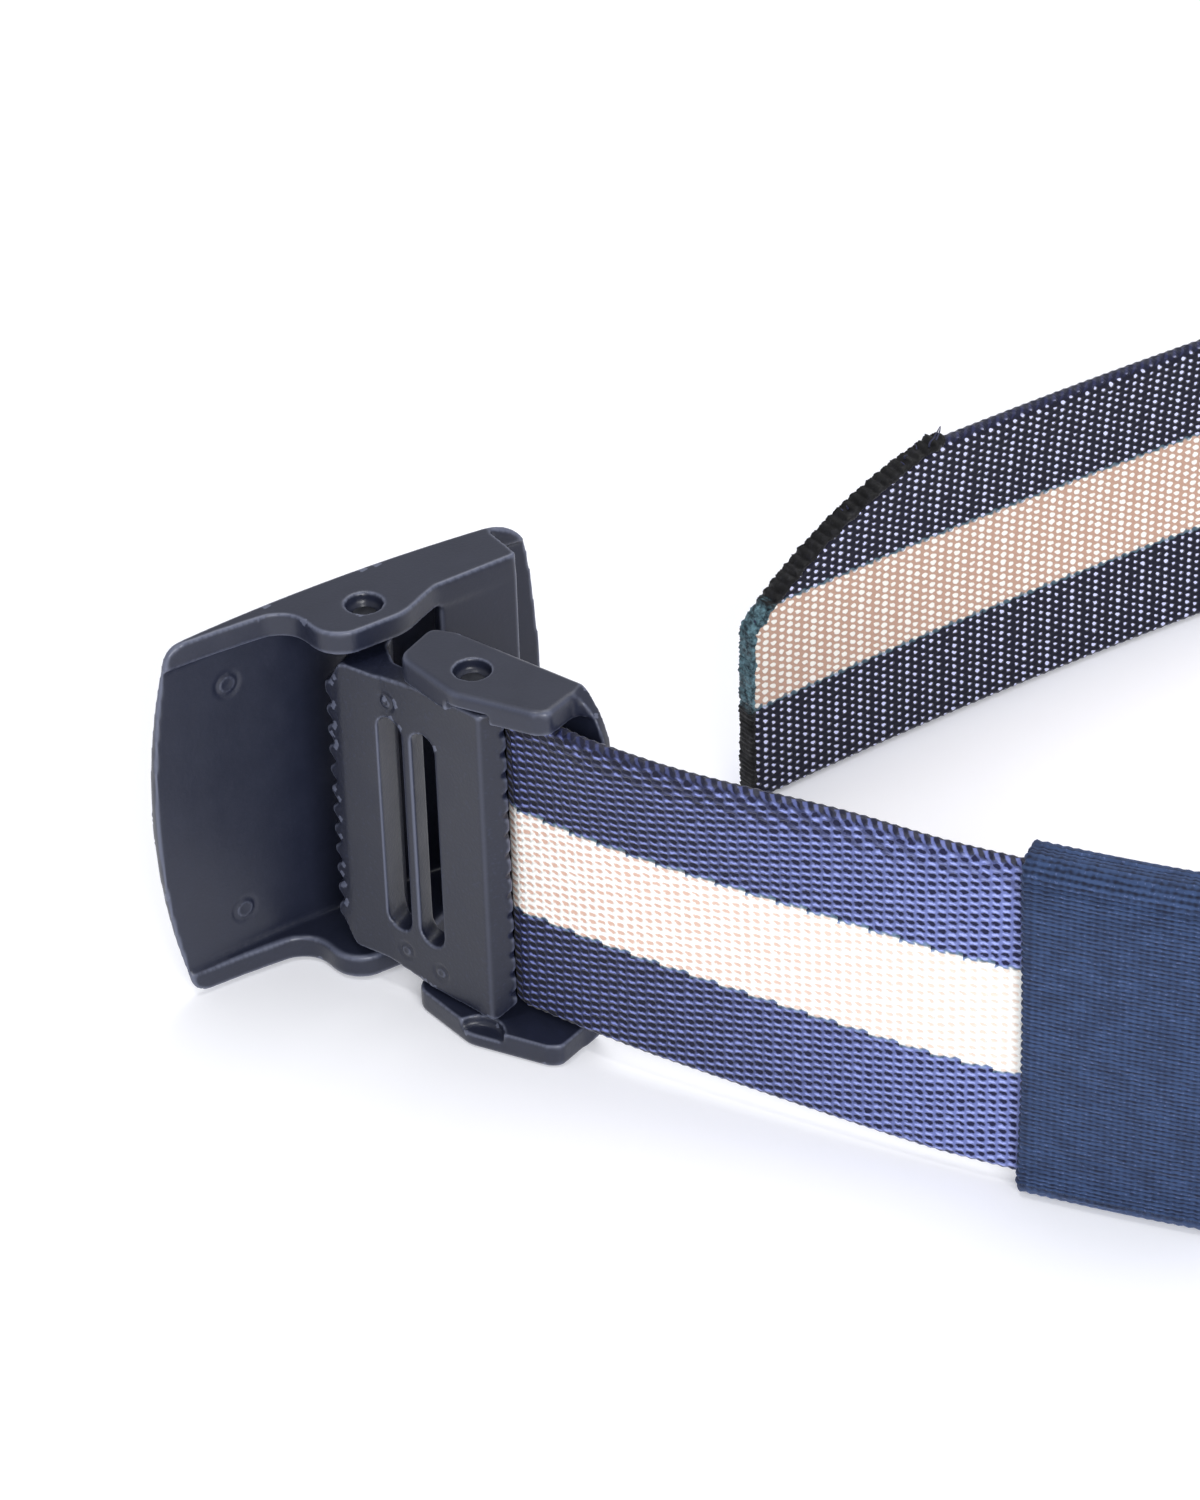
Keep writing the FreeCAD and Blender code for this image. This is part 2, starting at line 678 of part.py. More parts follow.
def webbing_strap(near, loop):
    """The whole strip of webbing, on edge, from the clamp in the frame to the slanted tip."""
    width = dim("webbing_width")
    thickness = dim("webbing_thickness")
    # Inside the frame the webbing is pressed against the back plate, behind the lever's teeth.
    tail_local = [
        Vector(5.0, -0.15, 0),
        Vector(4.62, 0.2, 0),
        Vector(4.5, 1.0, 0),
        Vector(4.15, 2.0, 0),
        Vector(3.9, plate_inner(3.9), 0),
        Vector(11.9, plate_inner(11.9), 0),
    ]
    tail = [FRAME_TURN.multVec(point) for point in tail_local]
    near_block = ribbon_face(near, thickness, tail).extrude(UP * (width + 2 * dim("clamp_lift")))
    clamp, keeper = dim("clamp_lift"), dim("keeper_lift")
    ends_at = near.point.x
    levels = [(-10.0, clamp), (13.0, clamp), (45.0, keeper), (110.0, keeper), (ends_at, 0.0),
              (ends_at + 5, 0.0)]
    band_points = [Vector(x, 0, z) for x, z in levels]
    band_points += [Vector(x, 0, z + width) for x, z in reversed(levels)]
    band = Part.Face(Part.makePolygon(band_points + band_points[:1]))
    band = band.extrude(Vector(0, 400, 0))
    band.translate(Vector(0, -300, 0))
    near_run = near_block.common(band)

    loop_run = ribbon_face(loop, thickness).extrude(UP * width)
    square, slant = dim("tip_square_height"), dim("tip_slant_length")
    # The cut's profile, drawn along the webbing and up it, then stood up at the tip.
    cut_edges = [
        Part.LineSegment(Vector(-6, 0, square - 3), Vector(-6, 0, width + 5)).toShape(),
        Part.LineSegment(Vector(-6, 0, width + 5), Vector(slant, 0, width + 5)).toShape(),
        Part.LineSegment(Vector(slant, 0, width + 5), Vector(slant, 0, width)).toShape(),
        Part.Arc(Vector(slant, 0, width), Vector(slant * 0.42, 0, square + (width - square) * 0.57),
                 Vector(0, 0, square)).toShape(),
        Part.LineSegment(Vector(0, 0, square), Vector(-6, 0, square - 3)).toShape(),
    ]
    cut = Part.Face(Part.Wire(cut_edges)).extrude(Vector(0, 16, 0))
    cut.translate(Vector(0, -8, 0))
    cut.Placement = FreeCAD.Placement(TIP_POINT, FreeCAD.Rotation(UP, TIP_HEADING)).multiply(cut.Placement)
    loop_run = loop_run.cut(cut)
    strap = doc.addObject("Part::Feature", "webbing_strap")
    strap.Label = "webbing_strap"
    strap.Shape = near_run.fuse(loop_run).removeSplitter()
    return strap


# ---------------------------------------------------------------- keeper

def keeper_turn():
    """Direction from the centre of the webbing's curve to the keeper's middle, degrees."""
    return RUN_HEADING + sum(angle for _, angle in RUN_BENDS) + dim("keeper_station") - 90


def keeper_band(centre):
    """Elastic loop around the webbing, swept about the centre of the webbing's own curve."""
    body = new_body("keeper_band")
    radius = dim("keeper_arc_radius")
    inner = dim("webbing_thickness") / 2 + dim("keeper_clearance")
    outer = inner + dim("elastic_thickness")
    low = dim("keeper_lift") - dim("keeper_clearance")
    high = dim("keeper_lift") + dim("webbing_width") + dim("keeper_clearance")
    wall = dim("elastic_thickness")
    middle = (low + high) / 2
    # The two ends of the elastic lie on each other where they are sewn together.
    lap = 7.0
    section = rounded_outline([
        (radius - outer, low - wall, 1.6),
        (radius + outer, low - wall, 1.6),
        (radius + outer, high + wall, 1.6),
        (radius - outer, high + wall, 1.6),
        (radius - outer, middle + lap),
        (radius - outer - wall, middle + lap, 0.4),
        (radius - outer - wall, middle - lap, 0.4),
        (radius - outer, middle - lap),
    ])
    section += rounded_outline([
        (radius - inner, low, 0.4),
        (radius + inner, low, 0.4),
        (radius + inner, high, 0.4),
        (radius - inner, high, 0.4),
    ])
    sketch = new_sketch(body, "KeeperSection", "XZ_Plane", section)
    sweep = body.newObject("PartDesign::Revolution", "KeeperSweep")
    sweep.Profile = sketch
    sweep.ReferenceAxis = (sketch, ["V_Axis"])
    sweep.Midplane = True
    sweep.setExpression("Angle", f"{ref('keeper_width')} / {ref('keeper_arc_radius')} * 180 / pi")
    body.Placement = FreeCAD.Placement(centre, FreeCAD.Rotation(UP, keeper_turn()))
    return body


def keeper_thread(centre):
    """Two rows of stitches that close the elastic loop, on the side that faces the body."""
    radius = dim("keeper_arc_radius")
    surface = radius - dim("webbing_thickness") / 2 - dim("keeper_clearance") - 2 * dim("elastic_thickness")
    middle = dim("keeper_lift") + dim("webbing_width") / 2
    length, breadth, proud = 2.0, 0.7, 0.3
    count = 5
    pitch = 3.2
    stitches = []
    for row_offset in (-4.5, 4.5):
        for index in range(count):
            stitch = Part.makeBox(proud, length, breadth, Vector(surface - proud, -length / 2, -breadth / 2))
            stitch = stitch.makeFillet(0.14, [edge for edge in stitch.Edges if edge.BoundBox.XMax < surface - 0.1])
            stitch.translate(Vector(0, 0, middle + row_offset))
            angle = math.degrees((index - (count - 1) / 2) * pitch / radius)
            stitch.rotate(Vector(0, 0, 0), UP, angle)
            stitches.append(stitch)
    thread = doc.addObject("Part::Feature", "keeper_thread")
    thread.Label = "keeper_thread"
    thread.Shape = Part.makeCompound(stitches)
    thread.Placement = FreeCAD.Placement(centre, FreeCAD.Rotation(UP, keeper_turn()))
    return thread


# ---------------------------------------------------------------- assembly

near_route, loop_route, keeper_arc_centre = webbing_routes()

frame = rear_frame()
lever = cam_lever()
cover = buckle_cover()
cover.Label = "buckle_cover"
cover.Placement = FreeCAD.Placement(COVER_AXIS, FreeCAD.Rotation(UP, dim("cover_angle")))

both_recesses = f"2 * {ref('recess_depth')}"
cover_low = (dim("frame_height") - dim("cover_height")) / 2
frame_pin = hinge_pin("frame_hinge_pin", f"{ref('frame_height')} - {both_recesses}", UP * dim("recess_depth"))
cover_pin = hinge_pin("cover_hinge_pin", f"{ref('cover_height')} - {both_recesses}",
                      COVER_AXIS + UP * (cover_low + dim("recess_depth")))

strap = webbing_strap(near_route, loop_route)
band = keeper_band(keeper_arc_centre)
thread = keeper_thread(keeper_arc_centre)
doc.recompute()

parts = [frame, lever, cover, frame_pin, cover_pin, strap, band, thread]

# The origin is the middle of the belt's footprint, on the surface it stands on.
extent = FreeCAD.BoundBox()
for part in parts:
    extent.add(part.Shape.optimalBoundingBox(False))
to_origin = Vector(-extent.Center.x, -extent.Center.y, -extent.ZMin)
for part in parts:
    placement = part.Placement
    placement.Base = placement.Base + to_origin
    part.Placement = placement
doc.recompute()

for item in doc.Objects:
    if "Invalid" in item.State or "Error" in item.State:
        raise RuntimeError(f"{item.Name} did not compute: {item.State}")
os.makedirs("parts", exist_ok=True)
for part in parts:
    shape = part.Shape
    if shape.isNull() or not shape.isValid() or not shape.Solids:
        raise RuntimeError(f"{part.Label} has no valid solid")
    shape.exportStep(f"parts/{part.Label}.step")
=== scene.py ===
import math

import bmesh
import bpy
import numpy as np
from mathutils import Matrix, Vector


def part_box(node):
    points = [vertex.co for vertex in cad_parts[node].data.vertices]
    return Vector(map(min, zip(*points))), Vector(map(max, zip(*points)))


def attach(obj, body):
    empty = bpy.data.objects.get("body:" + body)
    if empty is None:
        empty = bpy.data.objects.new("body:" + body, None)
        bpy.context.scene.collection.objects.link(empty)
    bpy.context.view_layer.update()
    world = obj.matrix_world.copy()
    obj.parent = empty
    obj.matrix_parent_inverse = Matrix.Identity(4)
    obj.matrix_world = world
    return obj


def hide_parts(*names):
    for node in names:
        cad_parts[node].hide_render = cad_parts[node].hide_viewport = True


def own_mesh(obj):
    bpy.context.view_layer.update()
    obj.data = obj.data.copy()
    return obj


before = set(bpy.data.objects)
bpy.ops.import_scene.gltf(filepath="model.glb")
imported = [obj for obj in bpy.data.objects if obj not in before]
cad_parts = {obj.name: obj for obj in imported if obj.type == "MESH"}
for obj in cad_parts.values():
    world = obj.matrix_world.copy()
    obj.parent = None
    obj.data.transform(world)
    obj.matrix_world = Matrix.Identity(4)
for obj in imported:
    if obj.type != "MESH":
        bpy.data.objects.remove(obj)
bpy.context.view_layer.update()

# Shapes are worked out in millimetres and degrees; MM turns millimetres into Blender's metres.
MM = 0.001
TURN = 2 * math.pi

# ---------------------------------------------------------------- places, from the frame

pin_low, pin_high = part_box("frame_hinge_pin")
HINGE = np.array(((pin_low + pin_high) / 2)[:2]) / MM
pin_low, pin_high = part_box("cover_hinge_pin")
COVER_HINGE = np.array(((pin_low + pin_high) / 2)[:2]) / MM
BUCKLE_HEADING = -27.0  # the frame's and the lever's length, in plan
COVER_HEADING = 32.5
BUCKLE_MIDDLE = 22.1  # height of the middle of the moulded parts

# ---------------------------------------------------------------- webbing, on the CAD model's route

WIDTH = 38.0
THICKNESS = 1.9  # a little under the CAD's, to leave room for the weave
CAD_HALF_THICKNESS = 1.0
CLAMP_LIFT = 3.1  # height of the lower selvage in the buckle
KEEPER_LIFT = 1.6  # and under the keeper
# Plan positions from the frame's hinge; turns are (radius, angle), and the loop's middle one is worked out.
ENTRY = (4.65, 0.86)  # where the webbing leaves the teeth, along and across the buckle
RUN_START = (11.4, -6.4)
RUN_HEADING = -34.0
RUN_TURNS = ((100.0, 4.5), (900.0, 1.5), (230.0, 15.0), (520.0, 4.0))
LOOP_TURNS = ((240.0, 40.0), (140.0, None), (240.0, 40.0))
TIP_POINT = (28.4, 37.8)
TIP_HEADING = 36.2
TIP_BEND = (570.0, 6.2)
TIP_SQUARE = 22.7  # height of the square end
TIP_SLANT = 24.4  # length of the slanted cut along the webbing

# Weave: columns of floats across the webbing, each column a third of a row above the one before.
COLUMN = 1.10
ROW = WIDTH / 40
BAND = WIDTH / 3

# ---------------------------------------------------------------- keeper

KEEPER_TURN = 2  # the one of RUN_TURNS that it rides on
KEEPER_STATION = 6.45  # and how far round that turn its middle is
KEEPER_WIDTH = 20.0
KEEPER_GAP = 0.32
ELASTIC = 1.2  # thickness
ELASTIC_ROW = 0.5  # pitch of its rows
LAP_HEIGHT = 14.0
STITCH_ROW = 4.5  # distance of each row of stitches from the lap's middle
STITCHES = 5
STITCH_PITCH = 3.2

# ---------------------------------------------------------------- camera and lights, in metres

CAMERA_PITCH = 34.9
CAMERA_ROLL = -1.86
CAMERA_LENS = 126.633
CAMERA_FROM_HINGE = (0.0124, -0.43394, 0.33666)
FLOOR_HALF = 4.0
# Name, place, the point that it faces, size and power.
LIGHTS = (
    ("softbox", (0.0, 0.3, 1.05), (-0.2, -0.05, 0), 0.8, 5.0),
    ("front_fill", (0.05, -1.05, 0.5), (-0.2, -0.06, 0.02), 0.5, 8.6),
    ("glint", (-0.42, -0.2, 0.8), (-0.25, -0.06, 0.02), 0.09, 0.9),
)


# ---------------------------------------------------------------- camera, floor and light

def link(thing):
    """Put an object in the scene."""
    bpy.context.scene.collection.objects.link(thing)
    return thing


def make_camera():
    """The photograph's camera, solved from the belt's edges and the buckle's corners."""
    pitch, roll = math.radians(CAMERA_PITCH), math.radians(CAMERA_ROLL)
    data = bpy.data.cameras.new("camera")
    data.sensor_width = 36.0
    data.lens = CAMERA_LENS
    data.clip_start = 0.01
    camera = link(bpy.data.objects.new("camera", data))
    level = Matrix(((1, 0, 0), (0, math.sin(pitch), math.cos(pitch)), (0, -math.cos(pitch), math.sin(pitch))))
    tilt = Matrix(((math.cos(roll), math.sin(roll), 0), (-math.sin(roll), math.cos(roll), 0), (0, 0, 1)))
    eye = Vector((*(HINGE * MM + CAMERA_FROM_HINGE[:2]), CAMERA_FROM_HINGE[2]))
    camera.matrix_world = Matrix.Translation(eye) @ (tilt @ level).transposed().to_4x4()
    bpy.context.scene.camera = camera


def area_light(name, place, target, size, power):
    """Square light that faces a point."""
    data = bpy.data.lights.new(name, "AREA")
    data.size = size
    data.energy = power
    light = link(bpy.data.objects.new(name, data))
    light.location = place
    light.rotation_euler = (Vector(target) - Vector(place)).to_track_quat("-Z", "Y").to_euler()


def make_studio():
    """Pale floor, pale surroundings and three soft lights."""
    scene = bpy.context.scene
    scene.view_settings.view_transform = "Standard"
    corners = [(x * FLOOR_HALF, y * FLOOR_HALF, 0) for x, y in ((-1, -1), (1, -1), (1, 1), (-1, 1))]
    mesh = bpy.data.meshes.new("floor")
    mesh.from_pydata(corners, [], [(0, 1, 2, 3)])
    floor = link(bpy.data.objects.new("floor", mesh))
    paper = Shader("floor_paper", Roughness=0.75)
    paper.set("Base Color", (0.87, 0.875, 0.9, 1))
    paper.set("Emission Color", (0.93, 0.94, 1, 1))
    paper.set("Emission Strength", 0.19)
    mesh.materials.append(paper.material)
    world = bpy.data.worlds.new("studio")
    world.use_nodes = True
    background = world.node_tree.nodes["Background"]
    background.inputs["Color"].default_value = (0.95, 0.96, 1, 1)
    background.inputs["Strength"].default_value = 0.55
    scene.world = world
    for settings in LIGHTS:
        area_light(*settings)


# ---------------------------------------------------------------- shader building

def srgb(red, green, blue):
    """Linear colour from the usual 0 to 255 values."""
    return tuple((v / 255 / 12.92 if v <= 10 else ((v / 255 + 0.055) / 1.055) ** 2.4)
                 for v in (red, green, blue)) + (1.0,)


def scaled(colour, factor):
    """A colour made lighter or darker."""
    return tuple(factor * c for c in colour[:3]) + (1.0,)


class Shader:
    """One material and short calls for the nodes that feed it."""

    def __init__(self, name, **fixed):
        self.material = bpy.data.materials.new(name)
        self.material.use_nodes = True
        self.tree = self.material.node_tree
        self.surface = self.tree.nodes["Principled BSDF"]
        for socket, value in fixed.items():
            self.set(socket.replace("_", " "), value)

    def set(self, socket, value):
        self.put(self.surface.inputs[socket], value)

    def put(self, socket, value):
        if isinstance(value, bpy.types.NodeSocket):
            self.tree.links.new(value, socket)
        else:
            socket.default_value = value

    def node(self, kind, **settings):
        made = self.tree.nodes.new(kind)
        for key, value in settings.items():
            setattr(made, key, value)
        return made

    def math(self, operation, *terms):
        made = self.node("ShaderNodeMath", operation=operation)
        for socket, value in zip(made.inputs, terms):
            self.put(socket, value)
        return made.outputs[0]

    def total(self, *weighted):
        """Sum of (weight, socket) pairs."""
        result = 0.0
        for weight, socket in weighted:
            result = self.math("MULTIPLY_ADD", socket, weight, result)
        return result

    def wave(self, phase):
        """Cosine wave whose phase counts whole turns."""
        return self.math("COSINE", self.math("MULTIPLY", phase, TURN))

    def step(self, value, low, high, to_low=0.0, to_high=1.0):
        """Smooth step of a value between two limits."""
        made = self.node("ShaderNodeMapRange", interpolation_type="SMOOTHSTEP")
        for socket, term in zip(made.inputs, (value, low, high, to_low, to_high)):
            self.put(socket, term)
        return made.outputs[0]

    def mix(self, share, first, second):
        """From the first colour to the second."""
        made = self.node("ShaderNodeMix", data_type="RGBA")
        self.put(made.inputs[0], share)
        self.put(made.inputs[6], first)
        self.put(made.inputs[7], second)
        return made.outputs[2]

    def mix_value(self, share, first, second):
        """From the first number to the second."""
        made = self.node("ShaderNodeMix", data_type="FLOAT")
        self.put(made.inputs[0], share)
        self.put(made.inputs[2], first)
        self.put(made.inputs[3], second)
        return made.outputs[0]

    def attribute(self, name):
        return self.node("ShaderNodeAttribute", attribute_name=name).outputs["Fac"]

    def vector(self, *parts):
        made = self.node("ShaderNodeCombineXYZ")
        for socket, part in zip(made.inputs, parts):
            self.put(socket, part)
        return made.outputs[0]

    def noise(self, scale, place=None, detail=2.0, roughness=0.5):
        """Noise from 0 to 1 at a place, or at the object's own coordinates in metres."""
        made = self.node("ShaderNodeTexNoise")
        self.put(made.inputs["Scale"], scale)
        self.put(made.inputs["Detail"], detail)
        self.put(made.inputs["Roughness"], roughness)
        if place is None:
            place = self.node("ShaderNodeTexCoord").outputs["Object"]
        self.put(made.inputs["Vector"], place)
        return made.outputs["Fac"]

    def bump(self, height, distance, strength):
        made = self.node("ShaderNodeBump")
        self.put(made.inputs["Height"], height)
        self.put(made.inputs["Distance"], distance)
        self.put(made.inputs["Strength"], strength)
        return made.outputs[0]


# ---------------------------------------------------------------- materials

def webbing_material():
    """Navy, cream and navy bands; outside, floats with dark gaps, painted highlights on their crowns and painted
    light away from the buckle; inside, painted glints on the knuckles; as in weave_relief.
    """
    shade = Shader("webbing_weave", Roughness=0.5)
    shade.set("Sheen Weight", 0.15)
    shade.set("Sheen Roughness", 0.4)
    shade.set("Specular IOR Level", 0.35)
    along, across = shade.attribute("along_mm"), shade.attribute("across_mm")
    outside = shade.attribute("outside")
    place = shade.vector(along, across, outside)
    wander = shade.noise(0.45, place, 3.0)
    drift = shade.math("MULTIPLY_ADD", wander, 0.5, -0.25)
    fine = shade.noise(2.2, place, 2.0)
    jitter = shade.math("MULTIPLY_ADD", fine, 0.36, -0.18)

    column = shade.math("DIVIDE", shade.math("ADD", along, jitter), COLUMN)
    row = shade.math("DIVIDE", shade.math("ADD", shade.math("ADD", across, jitter), drift), ROW)
    third = shade.math("DIVIDE", column, 3.0)
    two_thirds = shade.math("MULTIPLY", column, 2 / 3)
    over = shade.wave(column)
    out_row = shade.wave(shade.math("SUBTRACT", row, third))
    out_slant = shade.wave(shade.math("ADD", row, two_thirds))
    in_row = shade.wave(shade.math("ADD", row, third))
    in_slant = shade.wave(shade.math("SUBTRACT", row, two_thirds))
    every_third = shade.wave(third)

    # Outside: painted light and sheen lighten the navy yarn away from the buckle, and painted shade darkens it near
    # the buckle; its gaps close up where it is lighter.
    painted_light_ramp = shade.step(shade.math("MULTIPLY_ADD", wander, 22.0, along), 10.0, 78.0)
    hollow = shade.total((0.25, over), (1.0, out_row), (0.75, out_slant))
    knuckle = shade.total((0.95, over), (0.8, in_row), (1.0, in_slant), (0.35, every_third))
    openness = shade.math("MULTIPLY_ADD", painted_light_ramp, -0.45, hollow)
    gap = shade.step(openness, -0.6, 0.55)
    speck = shade.step(openness, -0.1, 1.0)
    # Painted highlight on the crown of each float.
    float_highlight = shade.step(hollow, -0.55, -1.45)
    # Painted glints on the knuckles of the inside face.
    knuckle_glint = shade.step(knuckle, 1.2, 1.85)
    oval = shade.step(knuckle, -0.35, 0.75)

    # The stripe's borders follow the weave: a saw edge three columns long.
    out_saw = shade.math("FRACT", third)
    in_saw = shade.math("SUBTRACT", 1.0, out_saw)
    saw = shade.math("SUBTRACT", shade.mix_value(outside, in_saw, out_saw), 0.5)
    steps = shade.math("MULTIPLY", saw, shade.mix_value(outside, -ROW * 0.12, -ROW * 0.5))
    level = shade.total((1.0, across), (1.0, steps), (0.10, over), (0.07, out_row), (-0.07, out_slant))
    from_middle = shade.math("ABSOLUTE", shade.math("SUBTRACT", level, WIDTH / 2))
    stripe = shade.step(from_middle, BAND / 2 + 0.16, BAND / 2 - 0.12)
    from_border = shade.math("ABSOLUTE", shade.math("SUBTRACT", from_middle, BAND / 2 + 0.14))
    border = shade.step(from_border, 0.28, 0.05)

    # These colours go from painted shade near the buckle to painted light and sheen away from it.
    navy = shade.mix(painted_light_ramp, srgb(36, 42, 80), srgb(110, 121, 182))
    navy_highlight = shade.mix(painted_light_ramp, srgb(122, 132, 196), srgb(164, 176, 238))
    navy_gap = shade.mix(painted_light_ramp, srgb(6, 8, 30), srgb(16, 20, 60))
    # Near the buckle, the floats along the upper edge lie in long slanted bundles.
    slanted = shade.step(shade.wave(shade.math("MULTIPLY_ADD", across, 0.38, third)), -0.1, 0.7)
    bundled = shade.math("MULTIPLY", slanted, shade.step(across, WIDTH - 4.2, WIDTH - 2.6))
    bundled = shade.math("MULTIPLY", bundled, shade.step(painted_light_ramp, 1.2, 0.3, 0.25, 0.8))
    navy_out = shade.mix(shade.math("MAXIMUM", gap, bundled), shade.mix(float_highlight, navy, navy_highlight), navy_gap)
    # The stripe's gaps lighten the same way, with painted light away from the buckle.
    cream_gap = shade.mix(painted_light_ramp, srgb(214, 176, 158), srgb(238, 220, 206))
    cream_out = shade.mix(speck, srgb(251, 250, 245), cream_gap)
    # Inside face: painted glints on a dark navy ground.
    navy_in = shade.mix(knuckle_glint, srgb(2, 3, 30), srgb(212, 216, 252))
    cream_in = shade.mix(oval, srgb(188, 154, 136), srgb(250, 246, 238))
    # The selvages are a rope of twisted bundles; on the near run's outside the beads take the navy with its painted
    # light and shade.
    beads = shade.wave(shade.math("MULTIPLY_ADD", across, 1.3, column))
    lit_near_run = shade.math("MULTIPLY", outside, shade.step(along, 420.0, 380.0))
    rope = shade.mix(shade.step(beads, -0.2, 0.95), srgb(18, 21, 46), shade.mix(lit_near_run, srgb(36, 40, 76), navy))
    teal = srgb(92, 124, 140)

    face_out = shade.mix(shade.math("MULTIPLY", border, 0.55), shade.mix(stripe, navy_out, cream_out), teal)
    face_in = shade.mix(shade.math("MULTIPLY", border, 0.6), shade.mix(stripe, navy_in, cream_in), teal)
    selvage = shade.step(shade.attribute("selvage"), 0.25, 0.75)
    shade.set("Base Color", shade.mix(selvage, shade.mix(outside, face_in, face_out), rope))
    relief = shade.mix_value(outside, oval, shade.math("SUBTRACT", 1.0, gap))
    fibres = shade.noise(9.0, shade.vector(shade.math("MULTIPLY", along, 0.25), across, outside), 2.0)
    height = shade.math("MULTIPLY_ADD", fibres, 0.35, relief)
    shade.set("Normal", shade.bump(height, 0.12 * MM, 0.7))
    shade.set("Roughness", shade.step(relief, 0.0, 1.0, 0.8, 0.4))
    return shade.material


def elastic_material():
    """Slate-navy elastic: fine rows along the belt, broken into dashes."""
    shade = Shader("keeper_elastic", Roughness=0.7)
    shade.set("Sheen Weight", 0.15)
    shade.set("Sheen Tint", (0.55, 0.65, 1, 1))
    shade.set("Specular IOR Level", 0.25)
    around, wide = shade.attribute("around_mm"), shade.attribute("wide_mm")
    place = shade.vector(wide, around, 0.0)
    jitter = shade.math("MULTIPLY_ADD", shade.noise(1.0, place), 0.26, -0.13)
    rows = shade.wave(shade.math("DIVIDE", shade.math("ADD", around, jitter), ELASTIC_ROW))
    dash = shade.math("ADD", shade.math("MULTIPLY_ADD", around, 1.15, wide), jitter)
    dashes = shade.wave(shade.math("DIVIDE", dash, 1.15))
    stretched = shade.vector(shade.math("MULTIPLY", wide, 0.25), shade.math("MULTIPLY", around, 3.0), 0.0)
    streak = shade.noise(1.6, stretched)
    picks = shade.wave(shade.math("DIVIDE", wide, 0.72))
    yarn = shade.total((0.75, rows), (0.22, picks), (0.1, dashes), (2.0, streak))
    level = shade.step(yarn, -0.3, 1.7)
    patches = shade.noise(0.35, place, 3.0)
    selvage = shade.step(shade.math("ABSOLUTE", wide), KEEPER_WIDTH / 2 - 1.5, KEEPER_WIDTH / 2 - 0.9)
    level = shade.math("MULTIPLY", level, shade.step(patches, 0.3, 0.7, 0.72, 1.12))
    level = shade.math("MULTIPLY", level, shade.math("MULTIPLY_ADD", selvage, -0.3, 1.0))
    yarns = shade.mix(level, srgb(16, 23, 44), srgb(52, 72, 110))
    glint = shade.math("MULTIPLY", shade.step(rows, 0.1, 0.9), shade.step(shade.noise(2.6, place), 0.56, 0.68))
    shade.set("Base Color", shade.mix(shade.math("MULTIPLY", glint, 0.5), yarns, srgb(92, 108, 152)))
    shade.set("Normal", shade.bump(shade.total((0.7, rows), (0.12, dashes), (0.8, streak)), 0.08 * MM, 0.9))
    return shade.material


def plastic_material(name, base, grain):
    """Satin moulded plastic with a fine spark-eroded grain and painted highlights on its sharp edges."""
    shade = Shader(name)
    shade.set("Specular IOR Level", 0.5)
    mottled = shade.noise(260.0, None, 3.0)
    speckle = shade.noise(2600.0, None, 2.0)
    edge = shade.step(shade.node("ShaderNodeNewGeometry").outputs["Pointiness"], 0.508, 0.545)
    sparks = shade.math("MULTIPLY", shade.step(speckle, 0.55, 0.75), grain)
    tone = shade.mix(mottled, scaled(base, 0.86), scaled(base, 1.16))
    tone = shade.mix(sparks, tone, scaled(base, 2.2))
    # Painted highlight along the sharp convex edges, picked by pointiness.
    rim_highlight = srgb(128, 134, 156)
    shade.set("Base Color", shade.mix(shade.math("MULTIPLY", edge, 0.42), tone, rim_highlight))
    shade.set("Roughness", shade.total((0.16, mottled), (0.10, speckle), (1.0, 0.22)))
    shade.set("Normal", shade.bump(speckle, 0.02 * MM, 0.5 + grain))
    return shade.material


def steel_material():
    """Dull blackened drawn steel."""
    shade = Shader("pin_blackened_steel", Metallic=1.0)
    lines = shade.noise(900.0, None, 4.0)
    shade.set("Base Color", shade.mix(lines, srgb(38, 39, 44), srgb(74, 76, 82)))
    shade.set("Roughness", shade.step(lines, 0.2, 0.8, 0.38, 0.6))
    return shade.material


def seal_material():
    """Webbing melted black by the hot knife, teal where the cream stripe was."""
    shade = Shader("melted_end")
    shade.set("Specular IOR Level", 0.3)
    cream = shade.attribute("cream")
    crumbs = shade.noise(1400.0, None, 4.0, 0.7)
    lumps = shade.noise(420.0, None, 2.0)
    black = shade.mix(shade.step(crumbs, 0.45, 0.75), srgb(4, 4, 6), srgb(26, 26, 32))
    teal = shade.mix(shade.step(crumbs, 0.35, 0.7), srgb(22, 38, 46), srgb(104, 140, 152))
    shade.set("Base Color", shade.mix(cream, black, teal))
    shade.set("Roughness", shade.step(lumps, 0.3, 0.7, 0.38, 0.8))
    shade.set("Normal", shade.bump(shade.total((0.6, crumbs), (1.0, lumps)), 0.25 * MM, 0.8))
    return shade.material


def thread_material(name, dark, light):
    """Twisted filament yarn between two colours."""
    shade = Shader(name, Roughness=0.6)
    twist = shade.noise(2600.0, None, 2.0)
    shade.set("Base Color", shade.mix(twist, dark, light))
    shade.set("Normal", shade.bump(twist, 0.05 * MM, 0.6))
    return shade.material


# ---------------------------------------------------------------- mesh building

